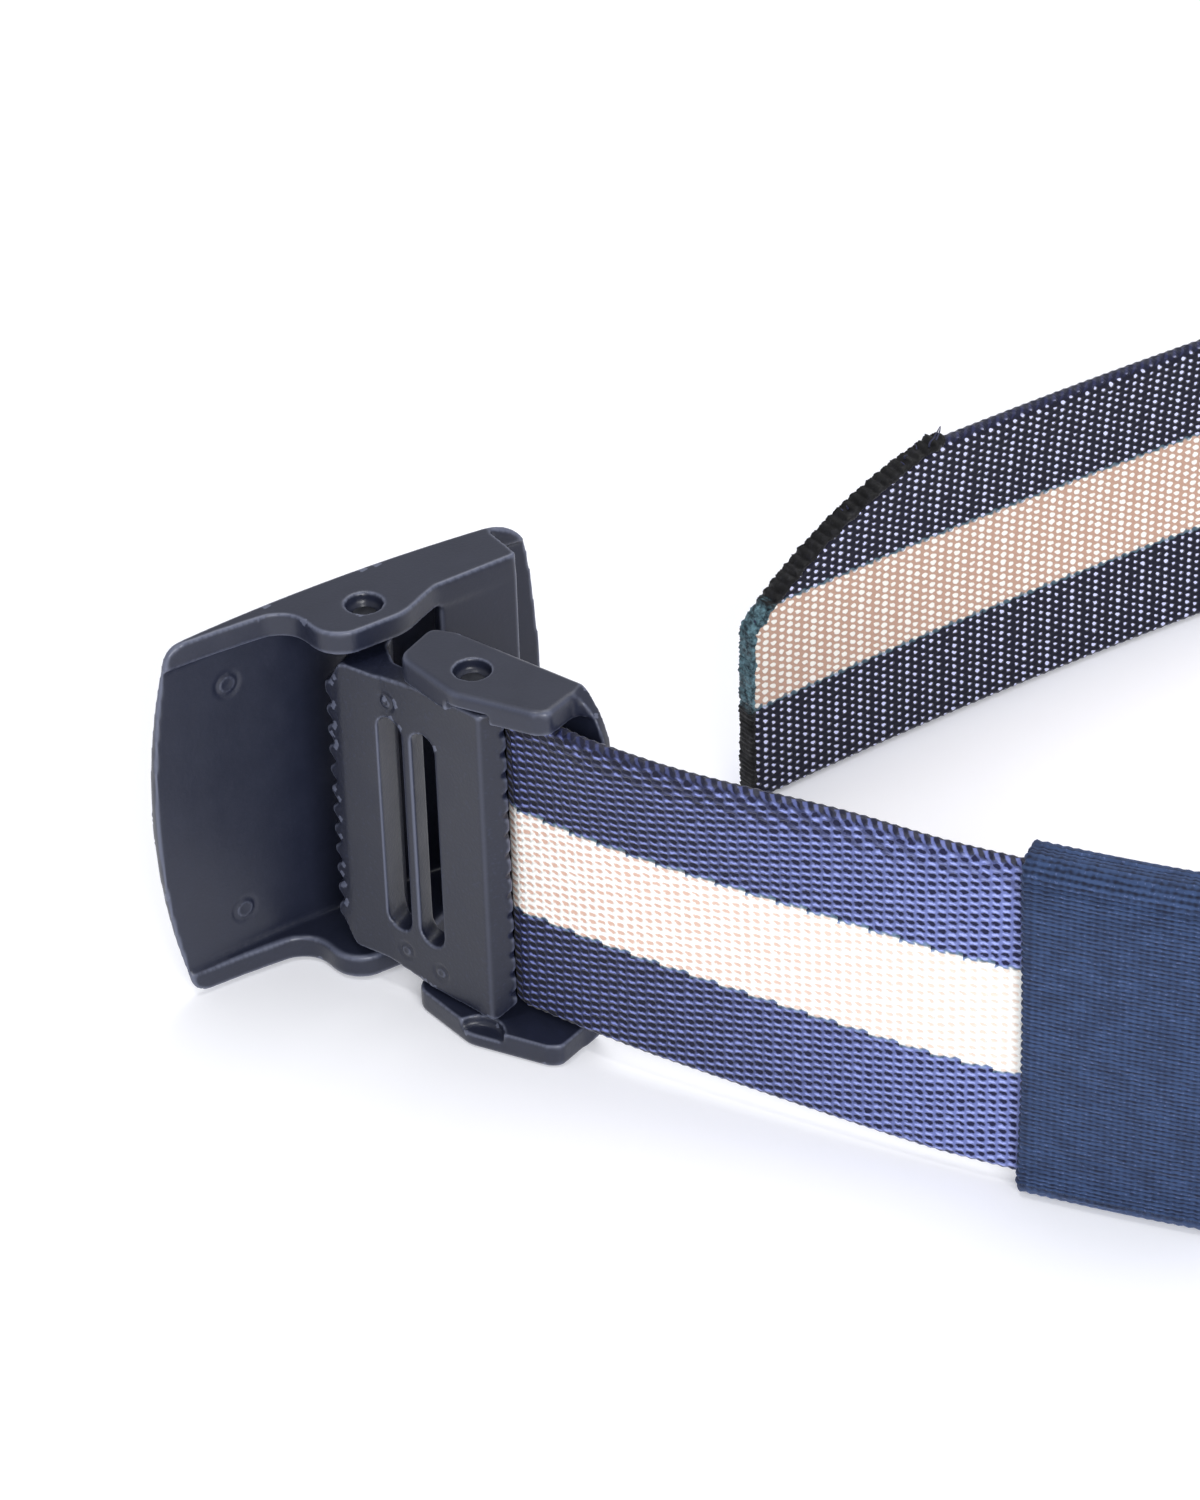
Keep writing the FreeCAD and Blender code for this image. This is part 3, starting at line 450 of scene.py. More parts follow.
def grid_mesh(name, points, attributes, wrap_along=False, cap_ends=False):
    """Mesh of rings of points (along, around, 3) in millimetres; attributes are (along, around) arrays.

    wrap_along joins the last ring to the first; cap_ends closes flat rings with strips across them."""
    rings, around = points.shape[:2]
    ring_next = (np.arange(rings) + 1) % rings if wrap_along else np.arange(1, rings)
    ring_here = np.arange(len(ring_next))
    corner = np.arange(rings * around).reshape(rings, around)
    after = np.roll(corner, -1, axis=1)
    faces = [np.stack([corner[ring_here], corner[ring_next], after[ring_next], after[ring_here]],
                      axis=-1).reshape(-1, 4)]
    if cap_ends:
        half = around // 2
        first = np.arange(1, half - 1)
        for ring, flip in ((0, False), (rings - 1, True)):
            a, b = corner[ring, first], corner[ring, first + 1]
            c, d = corner[ring, around - first - 1], corner[ring, around - first]
            strip = np.stack([a, b, c, d], axis=-1)
            faces.append(strip[:, ::-1] if flip else strip)
            ends = np.array([[corner[ring, 0], corner[ring, 1], corner[ring, around - 1]],
                             [corner[ring, half], corner[ring, half + 1], corner[ring, half - 1]]])
            faces.append(ends[:, ::-1] if flip else ends)
    return mesh_from(name, points.reshape(-1, 3), faces,
                     {key: values.reshape(-1) for key, values in attributes.items()})


def mesh_from(name, points, face_groups, attributes=None):
    """Smooth mesh of points in millimetres; each group holds faces with one number of corners."""
    sizes = np.concatenate([np.full(len(group), group.shape[1]) for group in face_groups])
    loops = np.concatenate([group.reshape(-1) for group in face_groups])
    mesh = bpy.data.meshes.new(name)
    mesh.vertices.add(len(points))
    mesh.vertices.foreach_set("co", (points * MM).astype(np.float32).ravel())
    mesh.loops.add(len(loops))
    mesh.loops.foreach_set("vertex_index", loops.astype(np.int32))
    mesh.polygons.add(len(sizes))
    mesh.polygons.foreach_set("loop_start", np.concatenate([[0], np.cumsum(sizes)[:-1]]).astype(np.int32))
    for key, values in (attributes or {}).items():
        layer = mesh.attributes.new(key, "FLOAT", "POINT")
        layer.data.foreach_set("value", values.astype(np.float32))
    mesh.update(calc_edges=True)
    mesh.shade_smooth()
    return mesh


def show(name, mesh, material, body):
    """Put a mesh in the scene as a piece that rides on a body."""
    mesh.materials.append(material)
    piece = link(bpy.data.objects.new(name, mesh))
    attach(piece, body)
    return piece


def smooth_rise(value, low, high):
    """Smooth step from 0 to 1 between two limits, on arrays."""
    share = np.clip((value - low) / (high - low), 0, 1)
    return share * share * (3 - 2 * share)


# ---------------------------------------------------------------- the webbing's route

class Route:
    """Chain of straight runs and tangent arcs in plan, sampled by distance."""

    def __init__(self, start, heading):
        self.point = np.array(start, float)
        self.heading = heading
        self.pieces = []
        self.length = 0.0

    def add(self, length, bend):
        """Run of a length that turns by bend radians for each millimetre."""
        self.pieces.append((self.length, self.point.copy(), math.radians(self.heading), bend))
        self.point = self.walk(self.pieces[-1], np.array([length]))[0][0]
        self.heading += math.degrees(bend * length)
        self.length += length

    def turn(self, radius, angle):
        """Arc through an angle in degrees, to the left where it is positive."""
        self.add(radius * abs(math.radians(angle)), math.copysign(1 / radius, angle))

    @staticmethod
    def walk(piece, distance):
        """Points and headings at distances along one piece."""
        _, start, heading, bend = piece
        angle = heading + bend * distance
        if abs(bend) < 1e-9:
            step = distance[:, None] * np.array([math.cos(heading), math.sin(heading)])
        else:
            step = np.stack([np.sin(angle) - math.sin(heading), math.cos(heading) - np.cos(angle)], axis=1) / bend
        return start + step, angle

    def at(self, distance):
        """Plan points and headings (radians) at distances along the route."""
        points, angles = np.zeros((len(distance), 2)), np.zeros(len(distance))
        starts = [piece[0] for piece in self.pieces]
        owner = np.clip(np.searchsorted(starts, distance, side="right") - 1, 0, len(starts) - 1)
        for index, piece in enumerate(self.pieces):
            mine = owner == index
            points[mine], angles[mine] = self.walk(piece, distance[mine] - piece[0])
        return points, angles


def rotated(point, angle):
    """A plan point or direction, turned by an angle in degrees."""
    c, s = math.cos(math.radians(angle)), math.sin(math.radians(angle))
    return np.array([point[0] * c - point[1] * s, point[0] * s + point[1] * c])


def webbing_route():
    """The route from the lever's teeth round the loop to the free tip, where its near run ends, and the keeper."""
    entry = rotated(ENTRY, BUCKLE_HEADING)
    start = np.array(RUN_START)
    gap = start - entry
    route = Route(entry, math.degrees(math.atan2(gap[1], gap[0])))
    route.add(float(np.hypot(*gap)), 0.0)
    route.heading = RUN_HEADING
    for index, (radius, angle) in enumerate(RUN_TURNS):
        if index == KEEPER_TURN:
            keeper_at = route.length + radius * math.radians(KEEPER_STATION)
        route.turn(radius, angle)
    near_end = route.length
    tip = Route(TIP_POINT, TIP_HEADING)
    tip.turn(TIP_BEND[0], -TIP_BEND[1])
    middle = tip.heading + 180 - route.heading - sum(angle for _, angle in LOOP_TURNS if angle)
    probe = Route((0, 0), route.heading)
    for radius, angle in LOOP_TURNS:
        probe.turn(radius, angle or middle)
    first, last = rotated((1, 0), route.heading), rotated((1, 0), tip.heading)
    lengths = np.linalg.solve(np.stack([first, -last], axis=1), tip.point - route.point - probe.point)
    route.add(float(lengths[0]), 0.0)
    for radius, angle in LOOP_TURNS:
        route.turn(radius, angle or middle)
    route.add(float(lengths[1]), 0.0)
    route.turn(*TIP_BEND)
    return route, near_end, keeper_at


ROUTE, NEAR_END, KEEPER_AT = webbing_route()


def lift_at(along, plan_x):
    """Height of the lower selvage: it hangs in the buckle, and lies on the floor past the keeper."""
    far = ROUTE.at(np.array([NEAR_END]))[0][0, 0]
    near = np.interp(plan_x, [13.0, 45.0, 110.0, far], [CLAMP_LIFT, KEEPER_LIFT, KEEPER_LIFT, 0.0])
    return np.where(along < NEAR_END, near, 0.0)


def lean_at(along, plan_x, height):
    """How far the webbing's upper part leans out of its plane, to the outside of the loop."""
    # In millimetres at the upper edge: cupped by the buckle, turned in at the tip, and loose waves between them.
    upper = np.clip((height - 12) / 26, 0, 1) ** 2
    to_tip = ROUTE.length - along
    near = 1.9 * (0.45 + 0.55 * smooth_rise(along, 0, 10)) * (1 - smooth_rise(plan_x, 18, 39)) * (along < NEAR_END)
    tip = -1.8 * (1 - smooth_rise(to_tip, 90, 170))
    loose = 0.9 * np.sin(along / 74) * smooth_rise(along, 150, 300) * smooth_rise(to_tip, 120, 260)
    return (near + tip + loose) * upper


def cut_height(to_tip):
    """Height of the slanted cut at a distance from the tip: an arc from the square end to the top."""
    x = np.clip(to_tip, 0, TIP_SLANT)
    ends = np.array([0.0, TIP_SQUARE]), np.array([TIP_SLANT, WIDTH])
    through = np.array([TIP_SLANT * 0.42, TIP_SQUARE + (WIDTH - TIP_SQUARE) * 0.57])
    matrix = 2 * np.array([ends[1] - ends[0], through - ends[0]])
    right = np.array([ends[1] @ ends[1] - ends[0] @ ends[0], through @ through - ends[0] @ ends[0]])
    centre = np.linalg.solve(matrix, right)
    radius = np.hypot(*(ends[0] - centre))
    return np.minimum(WIDTH, centre[1] + np.sqrt(np.maximum(radius ** 2 - (x - centre[0]) ** 2, 0)))


def place_on_belt(along, height, out):
    """Points in the model's frame, from the distance along the belt, the height above its lower selvage and the
    distance to the outside of its middle surface; all three arrays have one shape."""
    shape = along.shape
    points, angles = ROUTE.at(along.ravel())
    points, angles = points.reshape(*shape, 2), angles.reshape(shape)
    offset = out + lean_at(along, points[..., 0], height)
    x = points[..., 0] + offset * np.sin(angles) + HINGE[0]
    y = points[..., 1] - offset * np.cos(angles) + HINGE[1]
    z = height + lift_at(along, points[..., 0])
    return np.stack([x, y, z], axis=-1)


# ---------------------------------------------------------------- webbing pieces

def weave_relief(along, height, outside):
    """Relief of the weave in millimetres, up from the face."""
    column, row = along / COLUMN, height / ROW
    over, out_row, out_slant, in_row, in_slant = (np.cos(TURN * phase) for phase in (
        column, row - column / 3, row + column * 2 / 3, row + column / 3, row - column * 2 / 3))
    hollow = 0.25 * over + out_row + 0.7 * out_slant
    knuckle = 0.95 * over + 0.8 * in_row + in_slant
    return np.where(outside, -0.06 * hollow, 0.045 * knuckle)


def webbing_section(along):
    """Points and attributes of rings round the webbing at the given distances."""
    rows, edge_radius, selvage_width = 120, 1.05, 1.0
    heights = np.linspace(0, WIDTH, rows + 1)
    ring_height = np.concatenate([heights, heights[-2:0:-1]])
    outside = np.concatenate([np.ones(rows + 1), np.zeros(rows - 1)])
    s, height = np.meshgrid(along, ring_height, indexing="ij")
    side = np.broadcast_to(outside, s.shape).copy()
    to_tip = ROUTE.length - s
    top = cut_height(to_tip)
    height = np.minimum(height, top)
    inset = np.minimum(np.minimum(height, top - height), to_tip)
    rounding = np.sqrt(np.clip(1 - np.clip(1 - inset / edge_radius, 0, 1) ** 2, 0, 1))
    selvage = np.clip(1 - inset / selvage_width, 0, 1)
    half = THICKNESS / 2 * rounding * (1 - 0.12 * selvage)
    relief = weave_relief(s, height, side > 0.5) * smooth_rise(inset, 0.2, 1.2)
    out = np.where(side > 0.5, 1, -1) * (half + relief)
    # The selvage bulges at each pick.
    bulge = 0.10 * selvage * np.cos(TURN * s / COLUMN) * np.where(height > WIDTH / 2, 1, -1)
    bulge = np.where(height < WIDTH / 2, np.maximum(bulge, -height), bulge)
    rim = np.where(np.minimum(height, WIDTH - height) < 1.2, selvage, 0)
    attributes = {"along_mm": s, "across_mm": height, "outside": side, "selvage": rim}
    return place_on_belt(s, height + bulge, out), attributes


def vertex_normals(points):
    """Smooth normals of a grid that closes round each ring."""
    ahead = np.gradient(points, axis=0)
    round_it = np.roll(points, -1, axis=1) - np.roll(points, 1, axis=1)
    normal = np.cross(ahead, round_it)
    return normal / np.maximum(np.linalg.norm(normal, axis=-1, keepdims=True), 1e-12)


def make_webbing():
    """The webbing, drawn in lengths end to end so that each keeps its full relief when exported; and its material."""
    lengths = 8
    half_column = COLUMN / 2  # rings fall on the weave's crests and hollows
    end = ROUTE.length - 0.01
    each = math.ceil(ROUTE.length / half_column / lengths)
    along = np.minimum(np.arange(each * lengths + 1) * half_column, end)
    along = along[:int(np.searchsorted(along, end)) + 1]
    points, attributes = webbing_section(along)
    normals = vertex_normals(points)
    material = webbing_material()
    made = []
    for index in range(lengths):
        part = slice(index * each, (index + 1) * each + 1)
        name = f"webbing_length_{index + 1}"
        here = {key: values[part] for key, values in attributes.items()}
        mesh = grid_mesh(name, points[part], here, cap_ends=True)
        mesh.normals_split_custom_set_from_vertices(normals[part].reshape(-1, 3).astype(np.float32))
        piece = show(name, mesh, material, "belt")
        made.append((piece, float(along[part][-1] - along[part][0])))
    return made, material


def make_clamped_end(material):
    """The last of the webbing under the lever's teeth.

    It is worked out along (x) and across (y) the buckle, from the frame's hinge."""
    inner, outer, rows, steps, margin = 3.0, 4.72, 121, 8, 0.35
    heights = np.linspace(margin, WIDTH - margin, rows)
    local_x = np.linspace(inner, outer, steps)
    near_face = np.interp(local_x, [inner, 3.5, 4.0, outer], [0.72, 0.32, 0.08, -0.12])
    back_face = np.interp(local_x, [inner, outer], [2.35, 1.80])
    ring_x = np.concatenate([local_x, local_x[::-1]])
    outside = np.concatenate([np.ones(steps), np.zeros(steps)])
    along, level = np.broadcast_arrays(ring_x[None, :] - ENTRY[0], heights[:, None])
    relief = weave_relief(along, level, outside[None, :] > 0.5)
    ring_y = np.concatenate([near_face, back_face[::-1]])[None, :] + np.where(outside > 0.5, -1, 1) * relief
    rim = np.clip(1.3 - np.minimum(heights, WIDTH - heights), 0, 1)[:, None]
    ring_y = ring_y + np.where(outside > 0.5, 1, -1) * 0.5 * rim ** 2
    turn = math.radians(BUCKLE_HEADING)
    points = np.stack([
        ring_x * math.cos(turn) - ring_y * math.sin(turn) + HINGE[0],
        ring_x * math.sin(turn) + ring_y * math.cos(turn) + HINGE[1],
        level + CLAMP_LIFT,
    ], axis=-1)
    lean = lean_at(np.zeros(rows), np.full(rows, 4.0), heights)
    share = np.clip((ring_x - inner) / (outer - inner), 0, 1)
    points[..., :2] += (lean[:, None] * share)[..., None] * rotated((0, -1), BUCKLE_HEADING)
    attributes = {"along_mm": along, "across_mm": level, "outside": np.broadcast_to(outside, along.shape),
                  "selvage": np.broadcast_to(rim, along.shape)}
    mesh = grid_mesh("webbing_clamped_end", points, attributes)
    close_ends(mesh, 2 * steps)
    piece = show("webbing_clamped_end", mesh, material, "belt")
    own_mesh(piece)
    return piece


def tip_path():
    """Distances from the tip and heights along the cut: up the square end, then along the slant and a bit over."""
    step, over = 0.12, 1.2
    square = np.arange(0.0, TIP_SQUARE, step)
    slant = np.arange(0.0, TIP_SLANT + over, step)
    return (np.concatenate([np.zeros(len(square)), slant]),
            np.concatenate([square, cut_height(slant)]))


def make_tip_seal():
    """Bead of melted webbing along the cut end, beaded where each yarn was cut."""
    to_tip, height = tip_path()
    ahead = np.stack([np.gradient(to_tip), np.gradient(height)], axis=1)
    # The two runs meet in a soft corner.
    reach_back = 7
    kernel = np.hanning(2 * reach_back + 1)
    ahead = np.stack([np.convolve(np.pad(ahead[:, k], reach_back, mode="edge"), kernel, "valid") for k in (0, 1)],
                     axis=1)
    ahead /= np.linalg.norm(ahead, axis=1, keepdims=True)
    outward = np.stack([-ahead[:, 1], ahead[:, 0]], axis=1)
    distance = np.concatenate([[0], np.cumsum(np.hypot(np.diff(to_tip), np.diff(height)))])
    slanted = smooth_rise(distance, TIP_SQUARE - 2, TIP_SQUARE + 4)
    random = np.random.default_rng(7)
    knots = np.arange(0, distance[-1] + 1, 0.5)
    lumps = np.interp(distance, knots, random.normal(0, 1, int(distance[-1] * 2) + 3)[:len(knots)])
    pitch = 0.6 + 0.55 * slanted
    phase = np.cumsum(np.gradient(distance) / pitch)
    scallop = np.abs(np.sin(math.pi * phase))
    reach = 0.12 + (0.10 + 0.22 * slanted) * scallop + 0.05 * lumps
    count = 22
    flat, tall = squared_ring(count, 0.55, 0.55)
    depth_in = 0.5 + 0.12 * np.sin(distance * 2.1) + 0.08 * lumps
    centre = (reach - depth_in) / 2
    half_depth = (reach + depth_in) / 2
    half_thick = 1.2 + 0.05 * lumps + 0.06 * scallop
    out = half_thick[:, None] * flat[None, :]
    rough = random.normal(0, 0.035, out.shape)
    into = centre[:, None] + half_depth[:, None] * tall[None, :] + rough
    along = ROUTE.length - (to_tip[:, None] + into * outward[:, :1])
    level = np.maximum(height[:, None] + into * outward[:, 1:], 0.02)
    fade = np.minimum(1, np.minimum(distance - distance[0], distance[-1] - distance) / 0.8)[:, None] ** 0.5
    out = out * (0.35 + 0.65 * fade)
    points = place_on_belt(along, level, out + rough)
    edge = np.abs(level - WIDTH / 2)
    cream = 1 - smooth_rise(edge + rough * 6, BAND / 2 - 0.3, BAND / 2 + 0.4)
    mesh = grid_mesh("tip_seal", points, {"cream": cream})
    close_ends(mesh, count)
    piece = show("tip_seal", mesh, seal_material(), "belt")
    return piece


def squared_ring(count, flat_power, tall_power):
    """The two coordinates of a ring that is squarer than a circle, the more so the smaller its powers."""
    angle = np.arange(count) / count * TURN
    return (np.sign(np.cos(angle)) * np.abs(np.cos(angle)) ** flat_power,
            np.sign(np.sin(angle)) * np.abs(np.sin(angle)) ** tall_power)


def close_ends(mesh, count):
    """Fill the two open ends of a tube whose rings have this many points."""
    work = bmesh.new()
    work.from_mesh(mesh)
    work.verts.ensure_lookup_table()
    total = len(work.verts)
    work.faces.new([work.verts[i] for i in range(count)])
    work.faces.new([work.verts[total - 1 - i] for i in range(count)])
    bmesh.ops.recalc_face_normals(work, faces=work.faces)
    work.to_mesh(mesh)
    work.free()
    mesh.shade_smooth()


def tube(line, radius, sides=8):
    """Points of a tapered tube's rings along a short line of points."""
    line = np.array(line, float)
    ahead = np.gradient(line, axis=0)
    ahead /= np.linalg.norm(ahead, axis=1, keepdims=True)
    side = np.cross(ahead, (0.3, 0.2, 1.0))
    side /= np.linalg.norm(side, axis=1, keepdims=True)
    up = np.cross(side, ahead)
    angle = np.arange(sides) / sides * TURN
    taper = np.broadcast_to(radius, len(line))[:, None, None]
    ring = np.cos(angle)[None, :, None] * side[:, None, :] + np.sin(angle)[None, :, None] * up[:, None, :]
    return line[:, None, :] + taper * ring


def join_tubes(name, tubes):
    """One mesh of several tubes, each closed at both ends."""
    points, walls, ends = [], [], []
    start = 0
    for grid in tubes:
        rings, sides = grid.shape[:2]
        corner = np.arange(rings * sides).reshape(rings, sides) + start
        after = np.roll(corner, -1, axis=1)
        walls.append(np.stack([corner[:-1], corner[1:], after[1:], after[:-1]], axis=-1).reshape(-1, 4))
        ends += [corner[0][None, :], corner[-1][None, ::-1]]
        points.append(grid.reshape(-1, 3))
        start += rings * sides
    return mesh_from(name, np.concatenate(points), [np.concatenate(walls), np.concatenate(ends)])


def make_frayed_yarns():
    """Loose filaments that the hot knife left standing on the cut."""
    random = np.random.default_rng(3)
    tubes = []
    # Each yarn's distance from the tip, length, lean along the belt and curl.
    spots = ((23.4, 2.3, 0.5, -0.9), (24.0, 2.6, 0.9, 0.5), (24.6, 1.7, 1.2, 0.2), (21.0, 1.7, -0.6, -1.2),
             (20.2, 1.2, -0.9, 0.4), (13.4, 1.5, -1.0, -0.6), (12.6, 1.1, -0.3, 0.8), (0.9, 1.2, -0.8, -0.4),
             (22.2, 1.4, 0.1, 0.7), (25.3, 1.0, 1.4, -0.7))
    for to_tip, length, lean, curl in spots:
        t = np.linspace(0, 1, 10)
        along = ROUTE.length - to_tip - (lean * t + 0.35 * curl * np.sin(3 * t)) * length * 0.5
        level = cut_height(np.array(to_tip)) - 0.2 + length * (t - 0.25 * t ** 2)
        out = random.uniform(-0.7, 0.7) + curl * 0.5 * t ** 2
        tubes.append(tube(place_on_belt(along, level, out), 0.15 * (1 - 0.75 * t), sides=6))
    mesh = join_tubes("frayed_yarns", tubes)
    yarn = thread_material("frayed_yarn", srgb(24, 26, 44), srgb(58, 62, 96))
    piece = show("frayed_yarns", mesh, yarn, "belt")
    return piece


# ---------------------------------------------------------------- keeper pieces

def keeper_outline(count):
    """Closed line round the webbing: (out, height) points, outward normals, distances round it and its length."""
    half_thick = CAD_HALF_THICKNESS + KEEPER_GAP + ELASTIC / 2
    low, high = -KEEPER_GAP - ELASTIC / 2, WIDTH + KEEPER_GAP + ELASTIC / 2
    radius = 1.35
    straight = (2 * (half_thick - radius), high - low - 2 * radius)
    lengths = [straight[1], radius * math.pi / 2, straight[0], radius * math.pi / 2] * 2
    total = sum(lengths)
    distance = np.arange(count) / count * total
    points, normals = [], []
    corner = np.array([half_thick, low + radius])
    angle = 0.0
    starts = np.concatenate([[0], np.cumsum(lengths)])
    for index, length in enumerate(lengths):
        mine = distance[(distance >= starts[index]) & (distance < starts[index + 1])] - starts[index]
        facing = np.array([math.cos(angle), math.sin(angle)])
        tangent = np.array([-math.sin(angle), math.cos(angle)])
        if index % 2 == 0:
            for d in mine:
                points.append(corner + tangent * d)
                normals.append(facing)
            corner = corner + tangent * length
        else:
            centre = corner - facing * radius
            for d in mine:
                now = angle + d / radius
                normals.append(np.array([math.cos(now), math.sin(now)]))
                points.append(centre + normals[-1] * radius)
            angle += math.pi / 2
            corner = centre + np.array([math.cos(angle), math.sin(angle)]) * radius
    return np.array(points), np.array(normals), distance, total


def band_section():
    """Closed section across the band: outer face, rounded edge, inner face, rounded edge."""
    steps, edge = 38, 0.45
    half_flat = KEEPER_WIDTH / 2 - edge
    across = np.linspace(-1, 1, steps)
    bend = np.linspace(math.pi / 2, -math.pi / 2, 7)[1:-1]
    outer = np.stack([across * half_flat, np.full(steps, ELASTIC / 2)], axis=1)
    right = np.stack([half_flat + edge * np.cos(bend), ELASTIC / 2 * np.sin(bend)], axis=1)
    inner = np.stack([across[::-1] * half_flat, np.full(steps, -ELASTIC / 2)], axis=1)
    left = np.stack([-half_flat - edge * np.cos(bend[::-1]), ELASTIC / 2 * np.sin(bend[::-1])], axis=1)
    return np.concatenate([outer, right, inner, left])


def make_band(material):
    """Elastic band round the webbing, with its rows standing proud."""
    line, normals, distance, total = keeper_outline(552)
    section = band_section()
    wide, up = section[:, 0][None, :], section[:, 1][None, :]
    half_width = KEEPER_WIDTH / 2
    u = distance[:, None]  # distance round the band, as a column
    outer_share = smooth_rise(up, -0.1, ELASTIC / 2)
    random = np.random.default_rng(11)
    each_row = random.normal(0, 1, int(total / ELASTIC_ROW) + 2)[(u / ELASTIC_ROW).astype(int)]
    ribs = 0.05 * np.cos(TURN * u / ELASTIC_ROW) + 0.02 * each_row
    # Where it folds over the webbing's edges the rows open up.
    fold = np.exp(-((line[:, 1] - WIDTH) / 4.0) ** 2)[:, None] + np.exp(-(line[:, 1] / 3.0) ** 2)[:, None]
    ribs = ribs * (1 + 1.4 * fold) + 0.09 * fold * np.cos(TURN * wide / 1.05)
    rise = up + ribs * outer_share
    edge_wave = 0.12 * np.cos(TURN * u) * np.clip((np.abs(wide) - half_width + 1.5) / 1.5, 0, 1)
    wide = wide + np.sign(wide) * edge_wave + 0.25 * np.sin(u * 0.11)
    out = line[:, :1] + normals[:, :1] * rise
    height = line[:, 1:] + normals[:, 1:] * rise
    along = np.broadcast_to(KEEPER_AT + wide, out.shape)
    points = place_on_belt(along, height, out)
    points[..., 2] = np.maximum(points[..., 2], 0.05)
    attributes = {"around_mm": np.broadcast_to(u, out.shape), "wide_mm": np.broadcast_to(wide, out.shape)}
    mesh = grid_mesh("keeper_elastic", points, attributes, wrap_along=True)
    band = show("keeper_elastic", mesh, material, "keeper")
    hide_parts("keeper_band")
    return band, total


def make_lap(material):
    """The band's other end, lapped over it on the inside and drawn in along the stitches."""
    count, levels = 40, 60
    flat, thick = squared_ring(count, 0.35, 0.5)
    flat, thick = flat * (KEEPER_WIDTH / 2 - 0.15), thick * ELASTIC / 2
    level = np.linspace(-LAP_HEIGHT / 2, LAP_HEIGHT / 2, levels)
    ends = np.sqrt(np.clip(1 - (np.abs(level) / (LAP_HEIGHT / 2)) ** 16, 0, 1))[:, None]
    ridge = 0.05 * np.cos(TURN * level / ELASTIC_ROW)[:, None] * (thick > 0)[None, :]
    dip = -0.16 * np.exp(-((np.abs(level) - STITCH_ROW) / 0.6) ** 2)[:, None] * (thick > 0)[None, :]
    middle = CAD_HALF_THICKNESS + KEEPER_GAP + ELASTIC * 1.5
    out = -(middle + thick[None, :] * (0.3 + 0.7 * ends) + ridge + dip)
    along = KEEPER_AT + flat[None, :] * (0.97 + 0.03 * ends)
    height = np.broadcast_to(WIDTH / 2 + level[:, None], out.shape)
    mesh = grid_mesh("keeper_lap", place_on_belt(along, height, out), {"around_mm": height, "wide_mm": along})
    close_ends(mesh, count)
    lap = show("keeper_lap", mesh, material, "keeper")
    return lap


def make_stitches():
    """Two rows of lock stitches that close the elastic loop, each dipping into it at its ends."""
    surface = -(CAD_HALF_THICKNESS + KEEPER_GAP + 2 * ELASTIC)
    t = np.linspace(-1, 1, 15)
    tubes = []
    for row in (-STITCH_ROW, STITCH_ROW):
        for index in range(STITCHES):
            middle = (index - (STITCHES - 1) / 2) * STITCH_PITCH
            along = KEEPER_AT + middle + 1.25 * t
            out = surface - 0.12 + 0.62 * np.abs(t) ** 3
            line = place_on_belt(along, WIDTH / 2 + row + 0.08 * t, out)
            tubes.append(tube(line, 0.27 * (1 - 0.25 * np.abs(t) ** 4)))
    mesh = join_tubes("keeper_stitches", tubes)
    thread = thread_material("sewing_thread", srgb(22, 30, 44), srgb(54, 66, 92))
    piece = show("keeper_stitches", mesh, thread, "keeper")
    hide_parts("keeper_thread")
    return piece


# ---------------------------------------------------------------- buckle

def press_marks(mesh, marks):
    """Press in round marks of the mould's ejector pins, each (centre, direction that the face looks, radius)."""
    places = np.empty(len(mesh.vertices) * 3, np.float32)
    normals = np.empty_like(places)
    mesh.vertices.foreach_get("co", places)
    mesh.vertices.foreach_get("normal", normals)
    places, normals = places.reshape(-1, 3).astype(float), normals.reshape(-1, 3)
    for centre, facing, radius in marks:
        facing = np.array([*facing, 0.0])
        apart = places / MM - np.array(centre)
        depth = apart @ facing
        radial = np.linalg.norm(apart - depth[:, None] * facing, axis=1)
        on_face = (normals @ facing > 0.6) & (np.abs(depth) < 1.6)
        groove = -0.13 * np.exp(-((radial - radius) / 0.24) ** 2)
        rim = 0.07 * np.exp(-((radial - radius + 0.5) / 0.3) ** 2)
        places += ((groove + rim) * on_face)[:, None] * facing * MM
    mesh.vertices.foreach_set("co", places.astype(np.float32).ravel())
    mesh.update()


def mark(hinge, heading, place, radius):
    """One mark for press_marks, from its place along, across and up the part from its hinge."""
    x, y, up = place
    return (*(hinge + rotated((x, y), heading)), BUCKLE_MIDDLE + up), rotated((0, -1), heading), radius


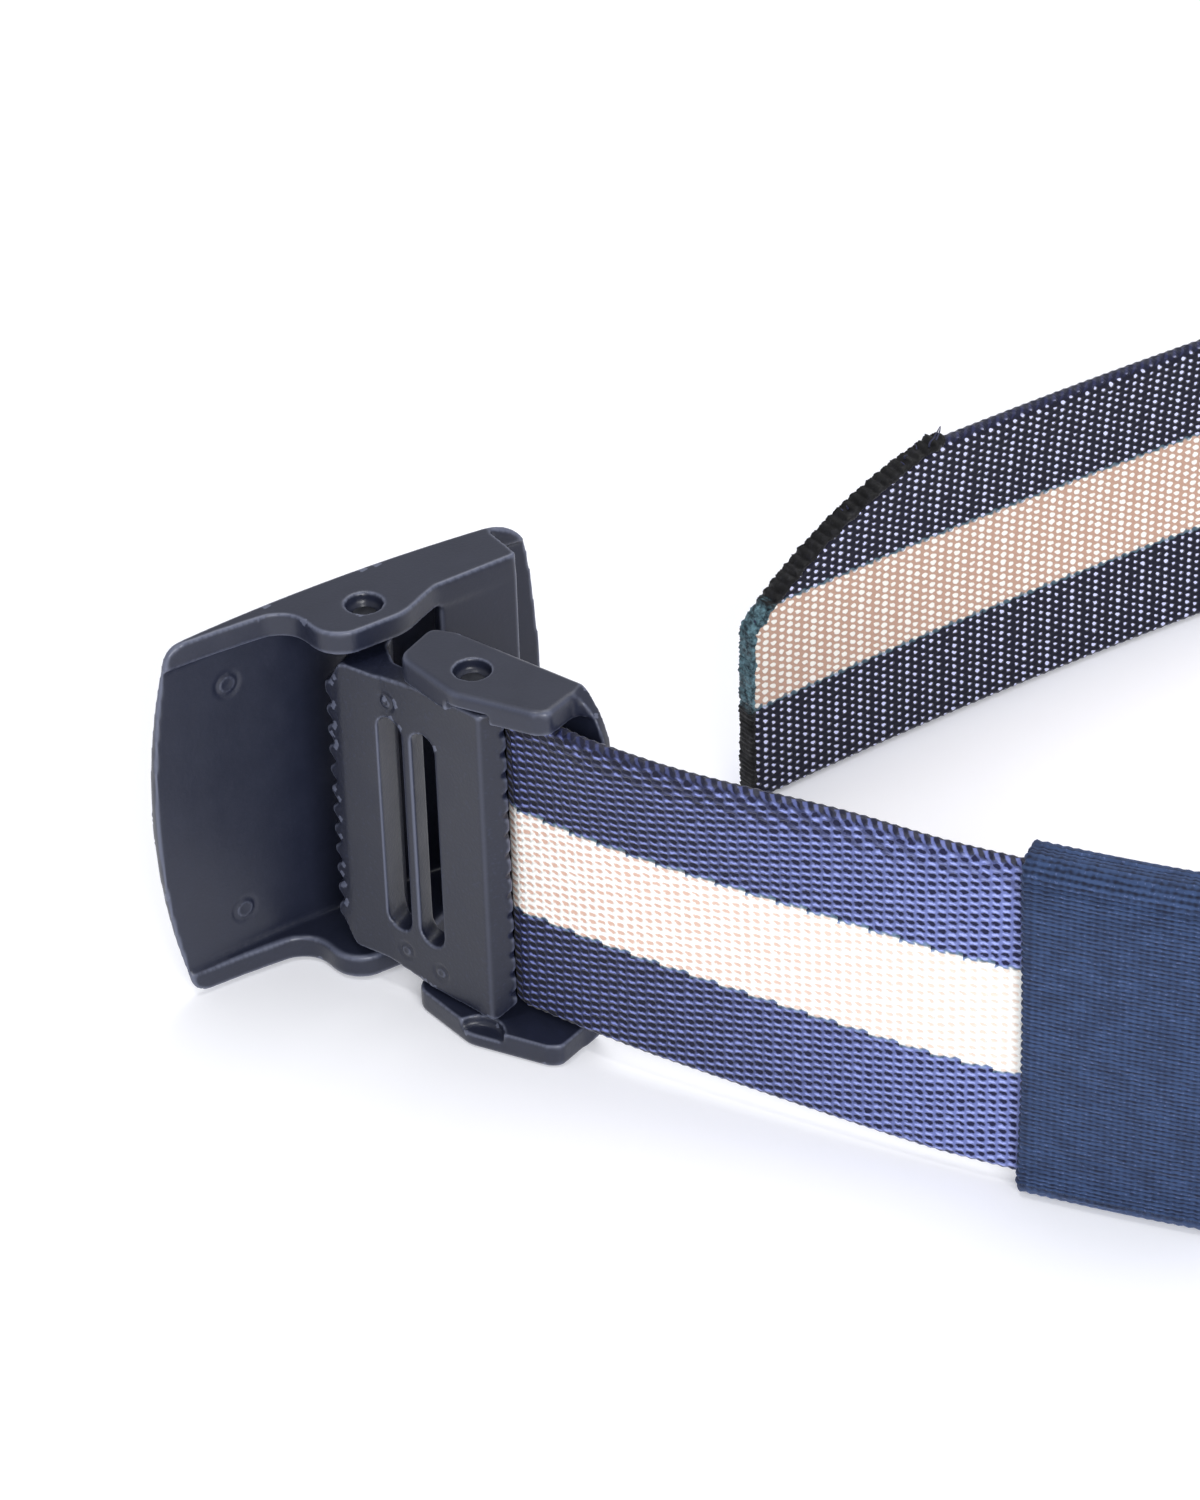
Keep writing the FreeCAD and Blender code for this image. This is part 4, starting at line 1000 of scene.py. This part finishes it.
def moulded(node, body, material, voxel, rounds, marks=()):
    """A moulded part with softly rounded edges: the CAD part's surface remeshed, then smoothed some rounds."""
    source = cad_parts[node]
    piece = link(bpy.data.objects.new(node + "_moulded", source.data.copy()))
    piece.data.transform(source.matrix_world)
    remesh = piece.modifiers.new("skin", "REMESH")
    remesh.mode = "VOXEL"
    remesh.voxel_size = voxel * MM
    remesh.adaptivity = 0.0
    smooth = piece.modifiers.new("soften", "SMOOTH")
    smooth.factor = 0.5
    smooth.iterations = rounds
    mesh = bpy.data.meshes.new_from_object(piece.evaluated_get(bpy.context.evaluated_depsgraph_get()))
    piece.modifiers.clear()
    piece.data = mesh
    press_marks(mesh, marks)
    mesh.materials.clear()
    mesh.materials.append(material)
    mesh.shade_smooth()
    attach(piece, body)
    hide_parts(node)


def dress_buckle():
    """The moulded parts are the CAD parts with their edges softened; the pins are the CAD pins."""
    shell = plastic_material("buckle_plastic", srgb(31, 35, 51), 0.12)
    lever = plastic_material("lever_plastic", srgb(22, 26, 42), 0.6)
    lever_marks = [mark(HINGE, BUCKLE_HEADING, place, 0.85)
                   for place in ((-10.2, 0.1, 15.2), (-9.3, -0.1, -15.6), (-4.6, -1.4, -16.2))]
    cover_marks = [mark(COVER_HINGE, COVER_HEADING, place, 1.3)
                   for place in ((-13.5, 5.6, -14.2), (-13.5, 5.6, 14.2))]
    moulded("rear_frame", "belt", shell, 0.2, 9)
    moulded("buckle_cover", "cover", shell, 0.285, 6, cover_marks)
    moulded("cam_lever", "lever", lever, 0.21, 7, lever_marks)
    steel = steel_material()
    for node in ("frame_hinge_pin", "cover_hinge_pin"):
        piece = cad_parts[node]
        piece.data.materials.clear()
        piece.data.materials.append(steel)


# ---------------------------------------------------------------- the scene

make_camera()
make_studio()
dress_buckle()
webbing, weave = make_webbing()
clamped = make_clamped_end(weave)
seal = make_tip_seal()
fray = make_frayed_yarns()
elastic = elastic_material()
band, round_length = make_band(elastic)
lap = make_lap(elastic)
stitches = make_stitches()
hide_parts("webbing_strap")
